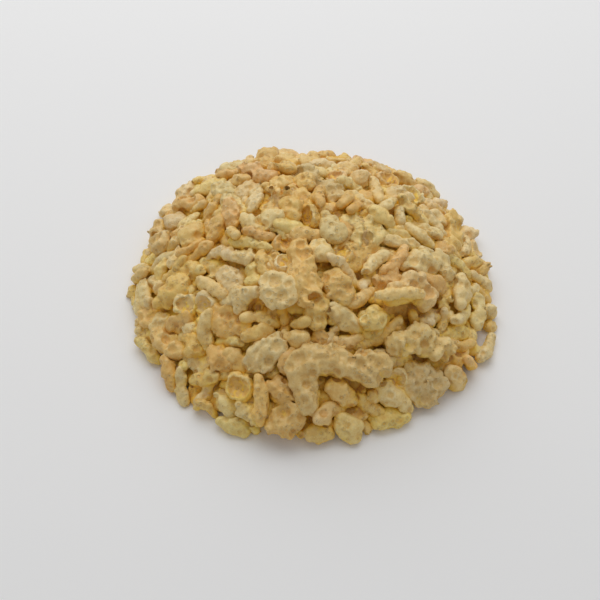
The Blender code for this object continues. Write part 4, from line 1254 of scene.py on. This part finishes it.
def makeRiceFinish():
    finish = bpy.data.materials.new("crispedRiceSkin")
    finish.use_nodes = True
    tree = finish.node_tree
    add = nodeAdder(tree)

    def read(name, output):
        return add("ShaderNodeAttribute", attribute_name=name)[output]

    def mixed(factor, first, second, blend="MIX"):
        inputs = [(0, factor), (6, first), (7, second)]
        return add("ShaderNodeMix", inputs, data_type="RGBA", blend_type=blend)[2]

    def tinted(name, colour, factor=1.0):
        blend, tint = riceTints[name]
        return mixed(factor, colour, tint, blend)

    def ranged(name, value):
        limits = zip(("From Min", "From Max", "To Min", "To Max"), riceRanges[name])
        inputs = [("Value", value), *limits]
        return add("ShaderNodeMapRange", inputs, interpolation_type="SMOOTHSTEP")["Result"]

    def maths(operation, first, second):
        return add("ShaderNodeMath", [(0, first), (1, second)], operation=operation)[0]

    shift = add("ShaderNodeVectorMath", [
        (0, read("chance", "Fac")), (1, riceFinish["apart"]), (2, add("ShaderNodeTexCoord")["Object"]),
    ], operation="MULTIPLY_ADD")[0]

    def noise(name):
        size, detail, rough = riceFinish[name]
        inputs = [("Vector", shift), ("Scale", 1.0 / size), ("Detail", detail), ("Roughness", rough)]
        return add("ShaderNodeTexNoise", inputs)["Fac"]

    def spotted(size, inputs=(), **values):
        return add("ShaderNodeTexVoronoi", [("Vector", shift), ("Scale", 1.0 / size), *inputs], **values)

    def bump(strength, deep, height, under=(), **values):
        inputs = [("Strength", strength), ("Distance", deep), ("Height", height), *under]
        return add("ShaderNodeBump", inputs, **values)["Normal"]

    tone, pitShade = read("tone", "Color"), read("pitShade", "Fac")
    closed = maths("MULTIPLY", read("closed", "Fac"), ranged("outOfPit", pitShade))
    mottle, grain = noise("mottle"), noise("grain")
    colour = tinted("mottle", tone, ranged("mottle", mottle))
    # painted highlight on rims and ridges, painted shade in pits and folds
    colour = mixed(ranged("rimHighlight", pitShade), colour, tinted("rimHighlight", tone))
    colour = mixed(ranged("pitShade", pitShade), colour, tinted("pitShade", colour))
    colour = tinted("grain", colour, ranged("grain", grain))
    soft = [("Smoothness", riceFinish["frothSoft"])]
    froth = spotted(riceFinish["frothSize"], soft, feature="SMOOTH_F1")["Distance"]
    frothy = ranged("froth", noise("frothPatch"))
    bubble = spotted(riceFinish["bubbleSize"])
    chance = add("ShaderNodeSeparateColor", [(0, bubble["Color"])])[0]
    edge = maths("SUBTRACT", bubble["Distance"], ranged("radius", chance))  # distance from its edge
    onRim = ranged("bubbleRim", edge)
    rimmed = mixed(onRim, colour, tinted("bubbleRim", colour))
    bubbly = mixed(ranged("bubble", edge), rimmed, tinted("bubble", colour))
    colour = mixed(frothy, colour, bubbly)
    colour = tinted("dimple", colour, maths("MULTIPLY", ranged("dimple", froth), frothy))
    colour = tinted("speck", colour, ranged("speck", spotted(riceFinish["speckSize"])["Distance"]))
    # painted amber shade in the gaps between pieces, less in pits
    paintedShadeBetween = tinted("paintedAmberShade", tinted("paintedShadeBetween", colour))
    colour = mixed(ranged("paintedAmberShade", closed), colour, paintedShadeBetween)
    normal = bump(frothy, riceFinish["frothDeep"], froth, invert=True)
    raised = maths("SUBTRACT", onRim, ranged("bubbleSunk", edge))
    normal = bump(frothy, riceFinish["bubbleDeep"], raised, [("Normal", normal)])
    normal = bump(riceFinish["skinBump"], riceFinish["skinDeep"], grain, [("Normal", normal)])
    shader = tree.nodes["Principled BSDF"]
    rough = ranged("roughness", mottle)
    for socket, value in (("Base Color", colour), ("Roughness", rough), ("Normal", normal)):
        tree.links.new(value, shader.inputs[socket])
    shader.inputs["Specular IOR Level"].default_value = riceFinish["specular"]
    return finish


stageRule = {"half": 1.5, "tone": (0.92, 0.92, 0.92, 1.0), "roughness": 0.8}


def makeStage():
    # a plain pale floor
    mesh = bpy.data.meshes.new("floor")
    corners = ((-1, -1, 0), (1, -1, 0), (1, 1, 0), (-1, 1, 0))
    mesh.from_pydata([Vector(corner) * stageRule["half"] for corner in corners], [], [(0, 1, 2, 3)])
    finish = bpy.data.materials.new("paleFloor")
    finish.use_nodes = True
    shader = finish.node_tree.nodes["Principled BSDF"]
    shader.inputs["Base Color"].default_value = stageRule["tone"]
    shader.inputs["Roughness"].default_value = stageRule["roughness"]
    mesh.materials.append(finish)
    addObject("floor", mesh)


# soft light from above and behind, with a weak fill from the front: place, size and power
lightRule = {
    "key": ((-0.08, 0.42, 0.48), 0.80, 2.7),
    "top": ((0.15, 0.30, 0.60), 0.80, 0.7),
    "fill": ((-0.10, -0.60, 0.45), 0.70, 0.02),
}
skyRule = {"tone": (1.0, 1.0, 1.0, 1.0), "strength": 0.33, "gamma": 1.09}


def makeLights():
    for name, (place, size, power) in lightRule.items():
        light = bpy.data.lights.new(name, "AREA")
        light.size = size
        light.energy = power
        lamp = addObject(name, light)
        lamp.location = place
        lamp.rotation_euler = (-Vector(place)).to_track_quat("-Z", "Y").to_euler()
    world = bpy.data.worlds.new("sky")
    world.use_nodes = True
    sky = world.node_tree.nodes["Background"].inputs
    sky["Color"].default_value = skyRule["tone"]
    sky["Strength"].default_value = skyRule["strength"]
    bpy.context.scene.world = world
    bpy.context.scene.view_settings.view_transform = "Standard"
    bpy.context.scene.view_settings.gamma = skyRule["gamma"]


# the camera looks down at the heap from the front, by so many degrees
cameraRule = {
    "place": (-0.002773, -0.14277, 0.18922),
    "down": 54.0,
    "lens": 56.4,
    "sensor": 36.0,
    "near": 0.005,
}


def makeCamera():
    data = bpy.data.cameras.new("camera")
    data.lens = cameraRule["lens"]
    data.sensor_width = cameraRule["sensor"]
    data.clip_start = cameraRule["near"]
    camera = addObject("camera", data)
    camera.location = cameraRule["place"]
    camera.rotation_euler = (math.radians(90.0 - cameraRule["down"]), 0.0, 0.0)
    bpy.context.scene.camera = camera


def toneHeap(heap):
    rng = np.random.default_rng(toneRule["seed"])
    names = list(riceTones)
    shares = np.array([riceTones[name][1] for name in names])
    for piece, shown in zip(heap.pieces, heap.shownArea()):
        drawnTone = names[int(rng.choice(len(names), p=shares / shares.sum()))]
        piece["colour"] = toneOf(piece["tone"] or toneAt(drawnTone, piece["at"], rng), rng)
        piece["shown"] = float(shown)


makeCamera()
makeLights()
makeStage()
heap, drawn = layHeap()
print("heap laid:", len(heap.pieces), "pieces")
toneHeap(heap)
riceSkin = makeRiceFinish()
tree = spreadTree("riceSpread", riceSkin)
made = []
for kind in riceKinds:
    rice = spreadKind(kind, heap, drawn, tree)
    markCreviceShade(rice, heap)
    made.append(rice)
    print("rice_" + kind, "made,", len(rice.data.polygons), "faces")
core = makeCore(heap)
core.data.materials.append(riceSkin)
markCreviceShade(core, heap, coreRule["closed"])
made.append(core)
print("rice_core made,", len(core.data.polygons), "faces")
for rice in made:
    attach(rice, "root")
    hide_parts("crisped_rice_heap")
